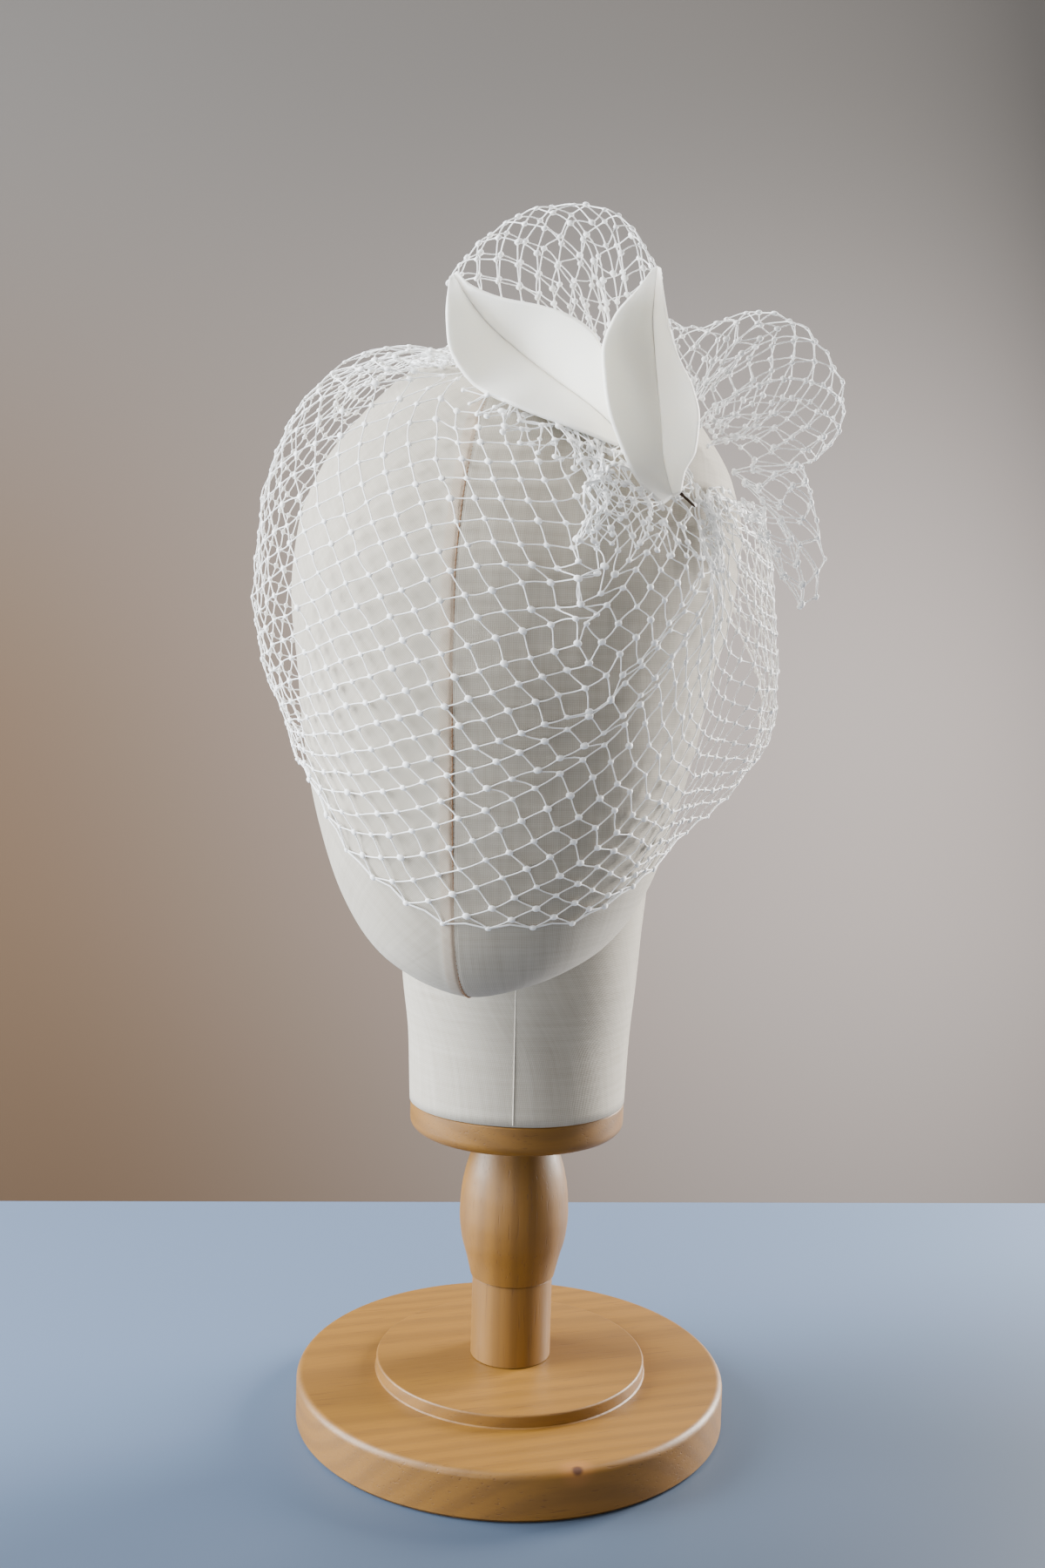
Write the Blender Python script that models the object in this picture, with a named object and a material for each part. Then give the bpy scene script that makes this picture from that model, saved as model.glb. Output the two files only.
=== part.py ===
"""A short bridal veil of open net on a canvas head stand.

Run in Blender 4.5. Sizes below are in millimetres and turn into metres as each
mesh is made. The origin is the middle of the stand's underside, +Z is up and
the face looks along -Y.
"""
import math

import bmesh
import bpy
import numpy as np

MM = 0.001
FIT = 0.3  # gap between two pieces that touch
NET = 1.0  # wall that stands for the net and its bulk
LEAF = 1.6  # two layers of satin on a stiff core

# Turned stand
BASE_R = 80.0
BASE_H = 17.1
BASE_FILLET = 2.6
STEP_R = 50.4
STEP_TOP = 21.8
POST_R = 15.0
POST_TOP = 52.7
DISC_R = 39.8
DISC_BOTTOM = 109.0
DISC_TOP = 120.0
DISC_ROUND = 4.0
ROUND_SIDES = 56

# Bulb of the stem: height, radius
BULB = (
    (53.0, 15.8),
    (60.0, 17.5),
    (68.0, 19.6),
    (76.0, 20.4),
    (84.0, 20.0),
    (92.0, 18.7),
    (97.0, 17.3),
    (103.0, 15.2),
    (108.7, 14.0),
)

# Head: height, half width, y where it is widest, front y, back y
HEAD = np.array((
    (174.0, 0.5, -74.0, -77.0, -71.0),
    (176.5, 13.0, -66.0, -90.0, -50.0),
    (181.0, 26.0, -60.0, -99.0, -24.0),
    (188.0, 37.5, -54.0, -105.5, 0.0),
    (198.0, 46.0, -51.0, -110.0, 22.0),
    (212.0, 53.0, -51.5, -113.0, 37.0),
    (230.0, 58.5, -53.0, -116.0, 47.5),
    (252.0, 64.3, -48.0, -118.5, 56.0),
    (278.0, 69.5, -38.0, -121.0, 64.0),
    (304.0, 74.8, -26.0, -121.0, 70.0),
    (326.0, 76.0, -12.5, -114.5, 72.0),
    (346.0, 71.7, -3.0, -101.5, 70.0),
    (363.0, 62.7, 3.0, -84.0, 63.0),
    (378.0, 51.0, 5.0, -63.0, 53.0),
    (389.0, 35.5, 6.0, -40.0, 38.0),
    (395.0, 19.0, 6.0, -20.0, 24.0),
    (397.5, 0.5, 5.0, 3.5, 6.5),
))
# Neck: the same columns
NECK = np.array((
    (DISC_TOP + FIT, 39.8, 0.0, -39.8, 39.8),
    (145.0, 41.0, 0.0, -41.5, 40.0),
    (165.0, 43.0, -2.0, -44.0, 41.0),
    (185.0, 44.5, -3.0, -46.0, 43.0),
    (205.0, 46.0, -4.0, -48.0, 44.0),
    (225.0, 46.0, -3.0, -46.0, 44.5),
    (243.0, 43.0, 0.0, -40.0, 45.0),
))
SQUARENESS = 2.1
HEAD_SIDES = 36
HEAD_LEVELS = (176.5, 181, 188, 198, 212, 230, 252, 278, 304, 326, 346, 363, 378, 389, 395)
CENTRE = np.array((0.0, -20.0, 300.0))  # the net spreads round this point of the head

# Gathered header that carries the net: its two ends on the head
HEADER_ENDS = np.array(((-8.0, -70.0, 372.0), (63.0, -63.0, 337.0)))
HEADER_R = 1.5
HEADER_GAP = 0.1  # extra clearance of its straight runs over the rounded head
# Share of the hem's length, share of the header's length that it is gathered to
HEADER_SHARE = np.array(
    ((0.0, 0.0), (0.3, 0.0), (0.4, 0.12), (0.5, 0.4), (0.6, 0.7), (0.72, 1.0), (1.0, 1.0)))
HEADER_MARGIN = 0.05  # share left off each end, where the net turns round it

# Veil, from the back of the crown round the face to the right of the nape:
# degrees round from the front, hem height, then how far the net stands off
# the head a quarter, half and three quarters of the way down, and at the hem
VEIL = np.array((
    (-188.0, 350.0, 4.0, 5.0, 5.0, 4.0),
    (-166.0, 308.0, 1.6, 3.5, 8.0, 5.0),
    (-138.0, 280.0, 5.2, 12.0, 11.0, 6.0),
    (-110.0, 268.0, 17.5, 13.8, 13.5, 4.0),
    (-84.0, 262.0, 18.0, 13.0, 14.0, 3.7),
    (-58.0, 255.0, 8.0, 7.7, 8.0, 4.2),
    (-38.0, 247.0, 4.0, 3.4, 2.5, 3.0),
    (-24.0, 223.5, 2.5, 2.6, 2.0, 1.4),
    (-12.0, 211.5, 2.5, 2.3, 1.8, 1.4),
    (1.0, 203.0, 2.5, 2.2, 1.8, 1.4),
    (18.0, 202.5, 2.5, 2.4, 1.8, 1.4),
    (40.0, 213.5, 2.5, 2.6, 2.0, 1.4),
    (62.0, 226.0, 2.5, 2.8, 4.0, 3.4),
    (84.0, 244.0, 2.5, 4.5, 8.4, 15.3),
    (104.0, 262.0, 3.5, 9.8, 21.8, 23.4),
    (126.0, 284.0, 4.0, 10.8, 18.9, 29.0),
    (150.0, 316.0, 3.5, 8.0, 13.0, 16.0),
))
VEIL_TOP_GAP = 2.2
VEIL_START = 3.9  # from the header's middle to the net's first row
VEIL_ACROSS = 96
VEIL_DOWN = 15
POUCH_SPAN = (298.0, 455.0)  # stretch of the hem whose rows are drawn closer
POUCH_DENSITY = 2.6
POUCH_BLEND = (354.0, 414.0)  # the lift passes from the left fold's to the right one's
GATHERS = 16
GATHER_HEIGHT = 1.0
GATHER_START = 0.06  # shares of the way down between which the gathers stand up
GATHER_REACH = 0.3

# The fold at the left of the pouch: share of the way down, place along the hem,
# overlap, lift
LEFT_FOLD = np.array((
    (0.00, 323.0, 0.0, 0.0),
    (0.16, 323.0, 3.0, 0.3),
    (0.22, 324.0, 8.0, 1.4),
    (0.32, 327.0, 13.0, 5.2),
    (0.45, 331.0, 14.0, 6.6),
    (0.53, 336.0, 12.5, 5.6),
    (0.60, 341.0, 9.5, 3.6),
    (0.70, 347.0, 6.0, 1.4),
    (0.82, 349.0, 0.0, 0.0),
    (1.00, 349.0, 0.0, 0.0),
))
# The fold at its right
RIGHT_FOLD = np.array((
    (0.00, 409.0, 0.0, 0.0),
    (0.18, 413.0, 3.0, 0.3),
    (0.28, 421.0, 11.5, 4.2),
    (0.36, 425.0, 13.0, 6.0),
    (0.44, 426.0, 11.0, 4.4),
    (0.54, 427.0, 6.0, 1.6),
    (0.64, 427.0, 0.0, 0.0),
    (1.00, 427.0, 0.0, 0.0),
))
FOLD_REACH = 20.0

# Loops of net behind the leaves. Root: two points near the head. Seat: how far
# off the head they sit. Fan: degrees from upright towards the right, reach.
# Lean: degrees that the top and the right side tip away from the face.
LOOPS = {
    "loop_top": dict(
        root=((26.0, -64.5, 369.0), (34.0, -61.5, 368.0)),
        fan=((-56, 53), (-42, 55.5), (-25, 58), (-10, 57.5), (2, 54.5), (8, 50), (16, 43), (23, 38)),
        seat=0.8, lean=(4.0, 8.0), thick=8.0, clear=5.5, across=16, around=22, gathers=2),
    "loop_upper_right": dict(
        root=((57.0, -49.5, 357.0), (63.0, -44.5, 353.0)),
        fan=((-16, 38), (-4, 35), (6, 36), (16, 42), (30, 51), (43, 55), (58, 56), (79, 51), (91, 41)),
        seat=0.8, lean=(8.0, 24.0), thick=8.0, clear=3.0, across=17, around=22, gathers=5),
    "loop_lower_right": dict(
        root=((70.5, -49.0, 346.5), (73.0, -48.0, 341.5)),
        fan=((88, 27), (106, 31), (120, 37), (130, 44), (138, 47), (146, 49)),
        seat=4.15, lean=(0.0, 4.0), thick=6.0, clear=4.2, across=13, around=22, gathers=3),
}
ROOT_OPEN = 2.2  # half the opening between a loop's two ends
ROOT_START = 4.0
ROOT_RISE = 8.0  # length over which a loop leaves the head for its own clearance
LOOP_GATHER = 0.9

# Leaves, from the tip to the base: lower or left edge, crease, upper or right edge
LEFT_LEAF = np.array((
    ((-12.2, -87.0, 398.6), (-11.0, -86.2, 399.6), (-9.8, -87.0, 400.2)),
    ((-12.0, -89.7, 389.5), (-7.5, -82.5, 394.0), (-6.0, -87.5, 396.0)),
    ((-11.0, -90.5, 378.5), (-1.5, -79.5, 386.5), (4.0, -88.8, 391.5)),
    ((-3.3, -90.5, 366.0), (8.0, -78.0, 378.2), (16.5, -90.5, 388.5)),
    ((11.8, -96.0, 358.0), (21.2, -81.8, 368.0), (26.0, -92.0, 385.0)),
    ((27.8, -97.0, 352.0), (33.0, -87.0, 359.2), (34.2, -92.5, 379.0)),
    ((42.4, -92.8, 346.8), (42.0, -89.0, 351.0), (40.0, -91.5, 366.0)),
))
RIGHT_LEAF = np.array((
    ((49.2, -77.9, 402.2), (50.5, -77.2, 403.0), (51.8, -77.9, 402.2)),
    ((46.2, -86.2, 394.4), (50.0, -78.3, 393.6), (53.0, -80.8, 394.2)),
    ((40.3, -94.3, 384.0), (49.9, -80.3, 387.0), (55.0, -83.4, 384.6)),
    ((37.8, -98.8, 374.0), (51.0, -83.0, 377.0), (58.2, -84.8, 374.8)),
    ((38.8, -100.6, 364.7), (52.6, -86.0, 365.0), (63.2, -87.0, 364.6)),
    ((40.3, -101.3, 356.4), (54.2, -87.6, 353.8), (65.5, -88.7, 355.2)),
    ((44.0, -99.6, 346.2), (55.0, -87.5, 345.0), (64.7, -87.7, 346.0)),
    ((49.3, -96.3, 336.0), (56.4, -87.5, 338.4), (61.6, -86.6, 339.6)),
    ((55.9, -91.1, 329.8), (58.2, -87.0, 332.6), (60.6, -86.0, 333.8)),
))
LEAF_TAPER = 0.2  # share of the length over which the tip thins
LEAF_TIP = 0.25
LEAF_LONG = 14
LEAF_WIDE = 8

PIN_R = 0.55
PIN_ENDS = np.array(((60.8, -84.4, 333.6), (65.2, -82.0, 329.8)))


def clear_scene():
    for item in list(bpy.data.objects):
        bpy.data.objects.remove(item, do_unlink=True)


def finish(name, colour, roughness, metallic=0.0):
    material = bpy.data.materials.new(name)
    material.use_nodes = True
    shader = material.node_tree.nodes["Principled BSDF"]
    shader.inputs["Base Color"].default_value = (*colour, 1.0)
    shader.inputs["Roughness"].default_value = roughness
    shader.inputs["Metallic"].default_value = metallic
    return material


def curve_through(rows, at):
    """Smooth values of a table's columns at places along its first column."""
    rows = np.asarray(rows, float)
    key, values = rows[:, 0], rows[:, 1:]
    step = np.diff(key)
    slope = np.diff(values, axis=0) / step[:, None]
    tangent = np.zeros_like(values)
    product = slope[:-1] * slope[1:]
    mean = 2 * product / (slope[:-1] + slope[1:] + 1e-12)
    tangent[1:-1] = np.where(product > 0, mean, 0.0)
    tangent[0], tangent[-1] = slope[0], slope[-1]
    at = np.clip(np.asarray(at, float), key[0], key[-1])
    row = np.clip(np.searchsorted(key, at, side="right") - 1, 0, len(step) - 1)
    width = step[row][..., None]
    t = ((at - key[row]) / step[row])[..., None]
    return (
        (2 * t**3 - 3 * t**2 + 1) * values[row]
        + (t**3 - 2 * t**2 + t) * width * tangent[row]
        + (-2 * t**3 + 3 * t**2) * values[row + 1]
        + (t**3 - t**2) * width * tangent[row + 1]
    )


def unit(vectors):
    return vectors / np.linalg.norm(vectors, axis=-1, keepdims=True)


def between(start, end, share):
    """Directions along the great circle from one direction to another."""
    angle = np.arccos(np.clip((start * end).sum(-1), -0.9995, 0.9995))[..., None]
    share = share[..., None]
    return unit(np.sin((1 - share) * angle) * start + np.sin(share * angle) * end)


def ring(row, sides):
    """One level of the head or the neck, a rounded oval with an uneven depth."""
    height, half, widest, front, back = row
    turn = np.arange(sides) * 2 * math.pi / sides
    power = 2 / SQUARENESS
    across = np.sign(np.cos(turn)) * np.abs(np.cos(turn)) ** power
    deep = np.sign(np.sin(turn)) * np.abs(np.sin(turn)) ** power
    depth = np.where(deep < 0, widest + (widest - front) * deep, widest + (back - widest) * deep)
    return np.stack((half * across, depth, np.full(sides, height)), axis=1)


def inside_head(points):
    height = points[..., 2]
    half, widest, front, back = np.moveaxis(curve_through(HEAD, height), -1, 0)
    y = points[..., 1]
    deep = np.where(y < widest, (widest - y) / (widest - front), (y - widest) / (back - widest))
    size = np.abs(points[..., 0] / half) ** SQUARENESS + np.abs(deep) ** SQUARENESS
    return (size < 1) & (height > HEAD[0, 0]) & (height < HEAD[-1, 0])


def head_reach(origin, direction):
    """Distance from a point in the head to its surface, found by halving."""
    low = np.full(direction.shape[:-1], 5.0)
    high = np.full(direction.shape[:-1], 175.0)
    for _ in range(26):
        middle = (low + high) / 2
        within = inside_head(origin + direction * middle[..., None])
        low = np.where(within, middle, low)
        high = np.where(within, high, middle)
    return (low + high) / 2


def off_head(direction, gap):
    return CENTRE + direction * (head_reach(CENTRE, direction) + gap)[..., None]


def kept_off_head(points, least):
    """Points nearer the head than the given gap, moved out to it."""
    offset = points - CENTRE
    distance = np.linalg.norm(offset, axis=-1)
    direction = offset / distance[..., None]
    reach = np.maximum(distance, head_reach(CENTRE, direction) + least)
    return CENTRE + direction * reach[..., None]


def hem_row(place):
    """Direction to the hem and the net's four gaps, at a place in the VEIL table."""
    table = np.column_stack((np.arange(len(VEIL)), VEIL))
    values = curve_through(table, place)
    turn = np.radians(values[..., 0])
    level = np.stack((np.zeros_like(turn), np.full_like(turn, CENTRE[1]), values[..., 1]), -1)
    outward = np.stack((np.sin(turn), -np.cos(turn), np.zeros_like(turn)), -1)
    hem = level + outward * head_reach(level, outward)[..., None]
    return unit(hem - CENTRE), values[..., 2:]


def hem_scale():
    """Places in the VEIL table against the length of hem up to them."""
    place = np.linspace(0, len(VEIL) - 1, 800)
    direction, gaps = hem_row(place)
    line = off_head(direction, gaps[..., -1])
    length = np.concatenate(([0.0], np.cumsum(np.linalg.norm(np.diff(line, axis=0), axis=1))))
    return place, length


def hem_stations(total):
    """Places along the hem for the wall's rows, closer together at the pouch."""
    place = np.linspace(0, total, 600)
    near = (place > POUCH_SPAN[0]) & (place < POUCH_SPAN[1])
    count = np.cumsum(np.where(near, POUCH_DENSITY, 1.0))
    return np.interp(np.linspace(count[0], count[-1], VEIL_ACROSS), count, place)


def fold_shift(along, down, table, sense):
    """How far a fold moves the net sideways, and its lift on one side of it."""
    place, overlap, lift = np.moveaxis(curve_through(table, down), -1, 0)
    x = along - place
    shift = -overlap * 2 * FOLD_REACH * x / (x**2 + FOLD_REACH**2)
    rise = 0.5 + 0.5 * np.tanh(sense * x / (0.45 * FOLD_REACH))
    return shift, rise, lift


def veil_points(along, down, scale):
    """The net's middle surface: a place along the hem and a share of the way down."""
    place, length = scale
    left = fold_shift(along, down, LEFT_FOLD, 1)
    right = fold_shift(along, down, RIGHT_FOLD, -1)
    blend = np.clip((along - POUCH_BLEND[0]) / (POUCH_BLEND[1] - POUCH_BLEND[0]), 0, 1)
    pouch = (left[2] + (right[2] - left[2]) * blend) * left[1] * right[1]
    moved = np.clip(along + left[0] + right[0], 0, length[-1])
    direction, gaps = hem_row(np.interp(moved, length, place))
    share = curve_through(HEADER_SHARE, moved / length[-1])[..., 0]
    ends = unit(HEADER_ENDS - CENTRE)
    top = between(np.broadcast_to(ends[0], direction.shape), ends[1], share)
    path = between(top, direction, down)
    stations = np.array((0.0, 0.25, 0.5, 0.75, 1.0))
    gaps = np.concatenate((np.full(gaps.shape[:-1] + (1,), VEIL_TOP_GAP), gaps), axis=-1)
    gap = sum_of_bumps(stations, gaps, down)
    wane = np.clip((down - GATHER_START) / (GATHER_REACH - GATHER_START), 0, 1)
    ripple = GATHER_HEIGHT * np.sin(math.pi * wane)
    gap = gap + pouch + ripple * np.sin(along / length[-1] * 2 * math.pi * GATHERS)
    return off_head(path, gap)


def sum_of_bumps(stations, values, at):
    """Values at even stations joined by a smooth curve through them all."""
    total = np.zeros_like(at)
    for k, here in enumerate(stations):
        others = [s for s in stations if s != here]
        weight = np.ones_like(at)
        for other in others:
            weight = weight * (at - other) / (here - other)
        total = total + weight * values[..., k]
    return total


def grid_normals(grid):
    across = np.gradient(grid, axis=0)
    along = np.gradient(grid, axis=1)
    return unit(np.cross(across, along))


def make_object(name, points, faces, material):
    mesh = bpy.data.meshes.new(name)
    mesh.from_pydata([tuple(p) for p in np.asarray(points) * MM], [], faces)
    work = bmesh.new()
    work.from_mesh(mesh)
    bmesh.ops.recalc_face_normals(work, faces=work.faces)
    work.to_mesh(mesh)
    work.free()
    mesh.shade_smooth()
    mesh.set_sharp_from_angle(angle=math.radians(50))
    mesh.materials.append(material)
    item = bpy.data.objects.new(name, mesh)
    bpy.context.scene.collection.objects.link(item)
    return item


def wall(name, grid, thickness, material):
    """A closed wall round a grid of points, half its thickness on each side."""
    normal = grid_normals(grid) * np.reshape(thickness, (-1, 1, 1)) / 2
    rows, columns = grid.shape[:2]
    points = np.concatenate(((grid + normal).reshape(-1, 3), (grid - normal).reshape(-1, 3)))
    layer = rows * columns

    def at(i, j, side):
        return side * layer + i * columns + j

    faces = []
    for i in range(rows - 1):
        for j in range(columns - 1):
            faces.append((at(i, j, 0), at(i + 1, j, 0), at(i + 1, j + 1, 0), at(i, j + 1, 0)))
            faces.append((at(i, j, 1), at(i, j + 1, 1), at(i + 1, j + 1, 1), at(i + 1, j, 1)))
    rim = [(i, 0) for i in range(rows)]
    rim += [(rows - 1, j) for j in range(1, columns)]
    rim += [(i, columns - 1) for i in range(rows - 2, -1, -1)]
    rim += [(0, j) for j in range(columns - 2, 0, -1)]
    for k, (i, j) in enumerate(rim):
        m, n = rim[(k + 1) % len(rim)]
        faces.append((at(i, j, 0), at(i, j, 1), at(m, n, 1), at(m, n, 0)))
    return make_object(name, points, faces, material)


def tube(name, line, radius, sides, material):
    """A closed rod along a line of points."""
    line = np.asarray(line, float)
    along = unit(np.gradient(line, axis=0))
    side = unit(np.cross(along, (0.0, 0.0, 1.0)))
    over = np.cross(side, along)
    turn = np.arange(sides) * 2 * math.pi / sides
    points = []
    for centre, a, b in zip(line, side, over):
        for t in turn:
            points.append(centre + radius * (math.cos(t) * a + math.sin(t) * b))
    last = (len(line) - 1) * sides
    faces = [tuple(range(sides)), tuple(range(last, last + sides))]
    for row in range(len(line) - 1):
        for k in range(sides):
            a = row * sides + k
            b = row * sides + (k + 1) % sides
            faces.append((a, b, b + sides, a + sides))
    return make_object(name, points, faces, material)


def turned(name, profile, material):
    """A solid turned about the stand's axis from its profile of radius and height."""
    turn = np.arange(ROUND_SIDES) * 2 * math.pi / ROUND_SIDES
    points = []
    for radius, height in profile:
        for t in turn:
            points.append((radius * math.cos(t), radius * math.sin(t), height))
    last = (len(profile) - 1) * ROUND_SIDES
    faces = [tuple(range(ROUND_SIDES)), tuple(range(last, last + ROUND_SIDES))]
    for row in range(len(profile) - 1):
        for k in range(ROUND_SIDES):
            a = row * ROUND_SIDES + k
            b = row * ROUND_SIDES + (k + 1) % ROUND_SIDES
            faces.append((a, b, b + ROUND_SIDES, a + ROUND_SIDES))
    return make_object(name, points, faces, material)


def rounded_edge(radius, height, size, rising):
    """Profile points round a turned edge, rising to it or leaving it."""
    points = []
    for step in range(4):
        t = math.radians(30 * step)
        if rising:
            points.append((radius - size + size * math.sin(t), height + size - size * math.cos(t)))
        else:
            points.append((radius - size + size * math.cos(t), height - size + size * math.sin(t)))
    return points


def build_stand(wood):
    base = [(BASE_R - 1.2, 0.0), (BASE_R, 1.2)]
    base += rounded_edge(BASE_R, BASE_H, BASE_FILLET, rising=False)
    base += [(STEP_R, BASE_H), (STEP_R, STEP_TOP - 0.8), (STEP_R - 0.8, STEP_TOP)]
    turned("stand_base", base, wood)
    turned("stand_post", [(POST_R, STEP_TOP + FIT), (POST_R, POST_TOP)], wood)
    turned("stand_bulb", [(radius, height) for height, radius in BULB], wood)
    disc = rounded_edge(DISC_R, DISC_BOTTOM, DISC_ROUND, rising=True)
    turned("neck_disc", disc + [(DISC_R, DISC_TOP)], wood)


def lofted(name, rings, material):
    sides = len(rings[0])
    points = np.concatenate(rings)
    last = (len(rings) - 1) * sides
    faces = [tuple(range(sides)), tuple(range(last, last + sides))]
    for row in range(len(rings) - 1):
        for k in range(sides):
            a = row * sides + k
            b = row * sides + (k + 1) % sides
            faces.append((a, b, b + sides, a + sides))
    return make_object(name, points, faces, material)


def build_head(canvas):
    """The head and its neck, one padded canvas form."""
    levels = np.array((174.6,) + HEAD_LEVELS + (397.0,), float)
    values = curve_through(HEAD, levels)
    head = lofted("head_form", [ring((z, *v), HEAD_SIDES) for z, v in zip(levels, values)], canvas)
    neck = lofted("neck_guide", [ring(row, HEAD_SIDES) for row in NECK], canvas)
    neck.hide_render = True
    neck.display_type = "WIRE"
    join = head.modifiers.new("neck", "BOOLEAN")
    join.operation = "UNION"
    join.solver = "EXACT"
    join.object = neck


def header_line(count):
    ends = unit(HEADER_ENDS - CENTRE)
    share = np.linspace(HEADER_MARGIN, 1 - HEADER_MARGIN, count)
    direction = between(np.broadcast_to(ends[0], (count, 3)), ends[1], share)
    return off_head(direction, np.full(count, HEADER_R + FIT + HEADER_GAP))


def build_veil(net):
    """The net from the header to its hem, with its gathers and the folded pouch."""
    scale = hem_scale()
    along, share = np.meshgrid(
        hem_stations(scale[1][-1]), np.linspace(0, 1, VEIL_DOWN), indexing="ij")
    rough = veil_points(along, share, scale)
    path = np.linalg.norm(np.diff(rough, axis=1), axis=2).sum(axis=1, keepdims=True)
    start = VEIL_START / path
    grid = veil_points(along, start + (1 - start) * share, scale)
    wall("veil_net", grid, NET, net)
    tube("gathered_header", header_line(12), HEADER_R, 8, net)


def loop_points(across, around, shape):
    """A loop of net: a share across its fan and a share round from front to back."""
    root = unit(np.array(shape["root"]) - CENTRE)
    root = off_head(root, np.full(2, shape["seat"]))
    centre = root[0] + (root[1] - root[0]) * across[..., None]
    fan = np.array(shape["fan"], float)
    angle = np.radians(fan[0, 0] + (fan[-1, 0] - fan[0, 0]) * across)
    reach = curve_through(fan, np.degrees(angle))[..., 0]
    tip, turn = np.radians(shape["lean"])
    upright = np.array((0.0, math.sin(tip), math.cos(tip)))
    sideways = np.array((math.cos(turn), math.sin(turn), 0.0))
    facing = unit(np.cross(upright, sideways))
    out = np.sin(angle)[..., None] * sideways + np.cos(angle)[..., None] * upright
    rise = np.sin(math.pi * around)
    distance = ROOT_START + (reach - ROOT_START) * rise ** 0.8
    ripple = LOOP_GATHER * (1 - rise) * np.sin(across * 2 * math.pi * shape["gathers"])
    depth = ROOT_OPEN * np.cos(math.pi * around) + shape["thick"] * np.sin(2 * math.pi * around)
    points = centre + out * distance[..., None] + facing * (ripple - depth)[..., None]
    risen = np.clip((distance - ROOT_START) / ROOT_RISE, 0, 1)
    return kept_off_head(points, shape["seat"] + (shape["clear"] - shape["seat"]) * risen)


def build_loops(net):
    for name, shape in LOOPS.items():
        across, around = np.meshgrid(
            np.linspace(0, 1, shape["across"]), np.linspace(0, 1, shape["around"]), indexing="ij")
        wall(name, loop_points(across, around, shape), NET, net)


def leaf_points(table, along, across):
    """A leaf's middle surface, folded along its crease and bowed to each side."""
    key = np.linspace(0, 1, len(table))
    edges = [curve_through(np.column_stack((key, table[:, k])), along) for k in range(3)]
    first = np.clip(across, -1, 0)[..., None]
    second = np.clip(across, 0, 1)[..., None]
    flat = edges[1] + (edges[0] - edges[1]) * -first + (edges[2] - edges[1]) * second
    return flat


def build_leaves(satin):
    for name, table in (("leaf_left", LEFT_LEAF), ("leaf_right", RIGHT_LEAF)):
        along, across = np.meshgrid(
            np.linspace(0, 1, LEAF_LONG), np.linspace(-1, 1, LEAF_WIDE + 1), indexing="ij")
        taper = np.clip(along[:, 0] / LEAF_TAPER, LEAF_TIP, 1)
        wall(name, leaf_points(table, along, across), LEAF * taper, satin)


def main():
    clear_scene()
    wood = finish("honey_wood", (0.55, 0.31, 0.12), 0.45)
    canvas = finish("head_canvas", (0.76, 0.74, 0.70), 0.9)
    net = finish("white_net", (0.86, 0.87, 0.88), 0.5)
    satin = finish("ivory_satin", (0.82, 0.80, 0.75), 0.55)
    steel = finish("dark_steel", (0.20, 0.17, 0.15), 0.35, 1.0)
    build_stand(wood)
    build_head(canvas)
    build_veil(net)
    build_loops(net)
    build_leaves(satin)
    tube("leaf_pin", PIN_ENDS, PIN_R, 8, steel)


main()
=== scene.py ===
import math

import bmesh
import bpy
import numpy as np
from mathutils import Matrix, Vector


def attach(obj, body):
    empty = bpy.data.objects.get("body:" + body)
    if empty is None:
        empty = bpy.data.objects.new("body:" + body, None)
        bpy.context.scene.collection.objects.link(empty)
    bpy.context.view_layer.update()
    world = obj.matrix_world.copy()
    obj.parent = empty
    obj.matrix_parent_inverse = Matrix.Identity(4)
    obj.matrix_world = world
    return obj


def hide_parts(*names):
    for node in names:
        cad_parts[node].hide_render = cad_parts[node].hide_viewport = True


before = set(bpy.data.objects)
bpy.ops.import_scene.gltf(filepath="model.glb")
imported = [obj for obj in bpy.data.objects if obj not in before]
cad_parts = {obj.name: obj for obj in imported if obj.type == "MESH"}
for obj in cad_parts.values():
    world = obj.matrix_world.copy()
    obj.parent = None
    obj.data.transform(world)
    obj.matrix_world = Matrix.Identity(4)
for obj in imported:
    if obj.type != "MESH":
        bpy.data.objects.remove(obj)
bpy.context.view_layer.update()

# Sizes are in millimetres until a mesh is made, like the solids' own tables.
mm = 0.001
fullTurn = 6.2832


# Shader sockets that can be added and multiplied
class Wire:
    def __init__(self, tree, socket):
        self.tree = tree
        self.socket = socket

    def math(self, operation, *others, first=None):
        step = self.tree.nodes.new("ShaderNodeMath")
        step.operation = operation
        values = (self, *others) if first is None else (first, self)
        for k, value in enumerate(values):
            plug(self.tree, value, step.inputs[k])
        return Wire(self.tree, step.outputs[0])

    def __add__(self, value):
        return self.math("ADD", value)

    def __sub__(self, value):
        return self.math("SUBTRACT", value)

    def __rsub__(self, value):
        return self.math("SUBTRACT", first=value)

    def __mul__(self, value):
        return self.math("MULTIPLY", value)

    def __pow__(self, value):
        return self.math("POWER", value)

    def __rpow__(self, value):
        return self.math("POWER", first=value)

    __radd__ = __add__
    __rmul__ = __mul__


def plug(tree, value, socket):
    if isinstance(value, Wire):
        tree.links.new(value.socket, socket)
    else:
        socket.default_value = value


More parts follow.
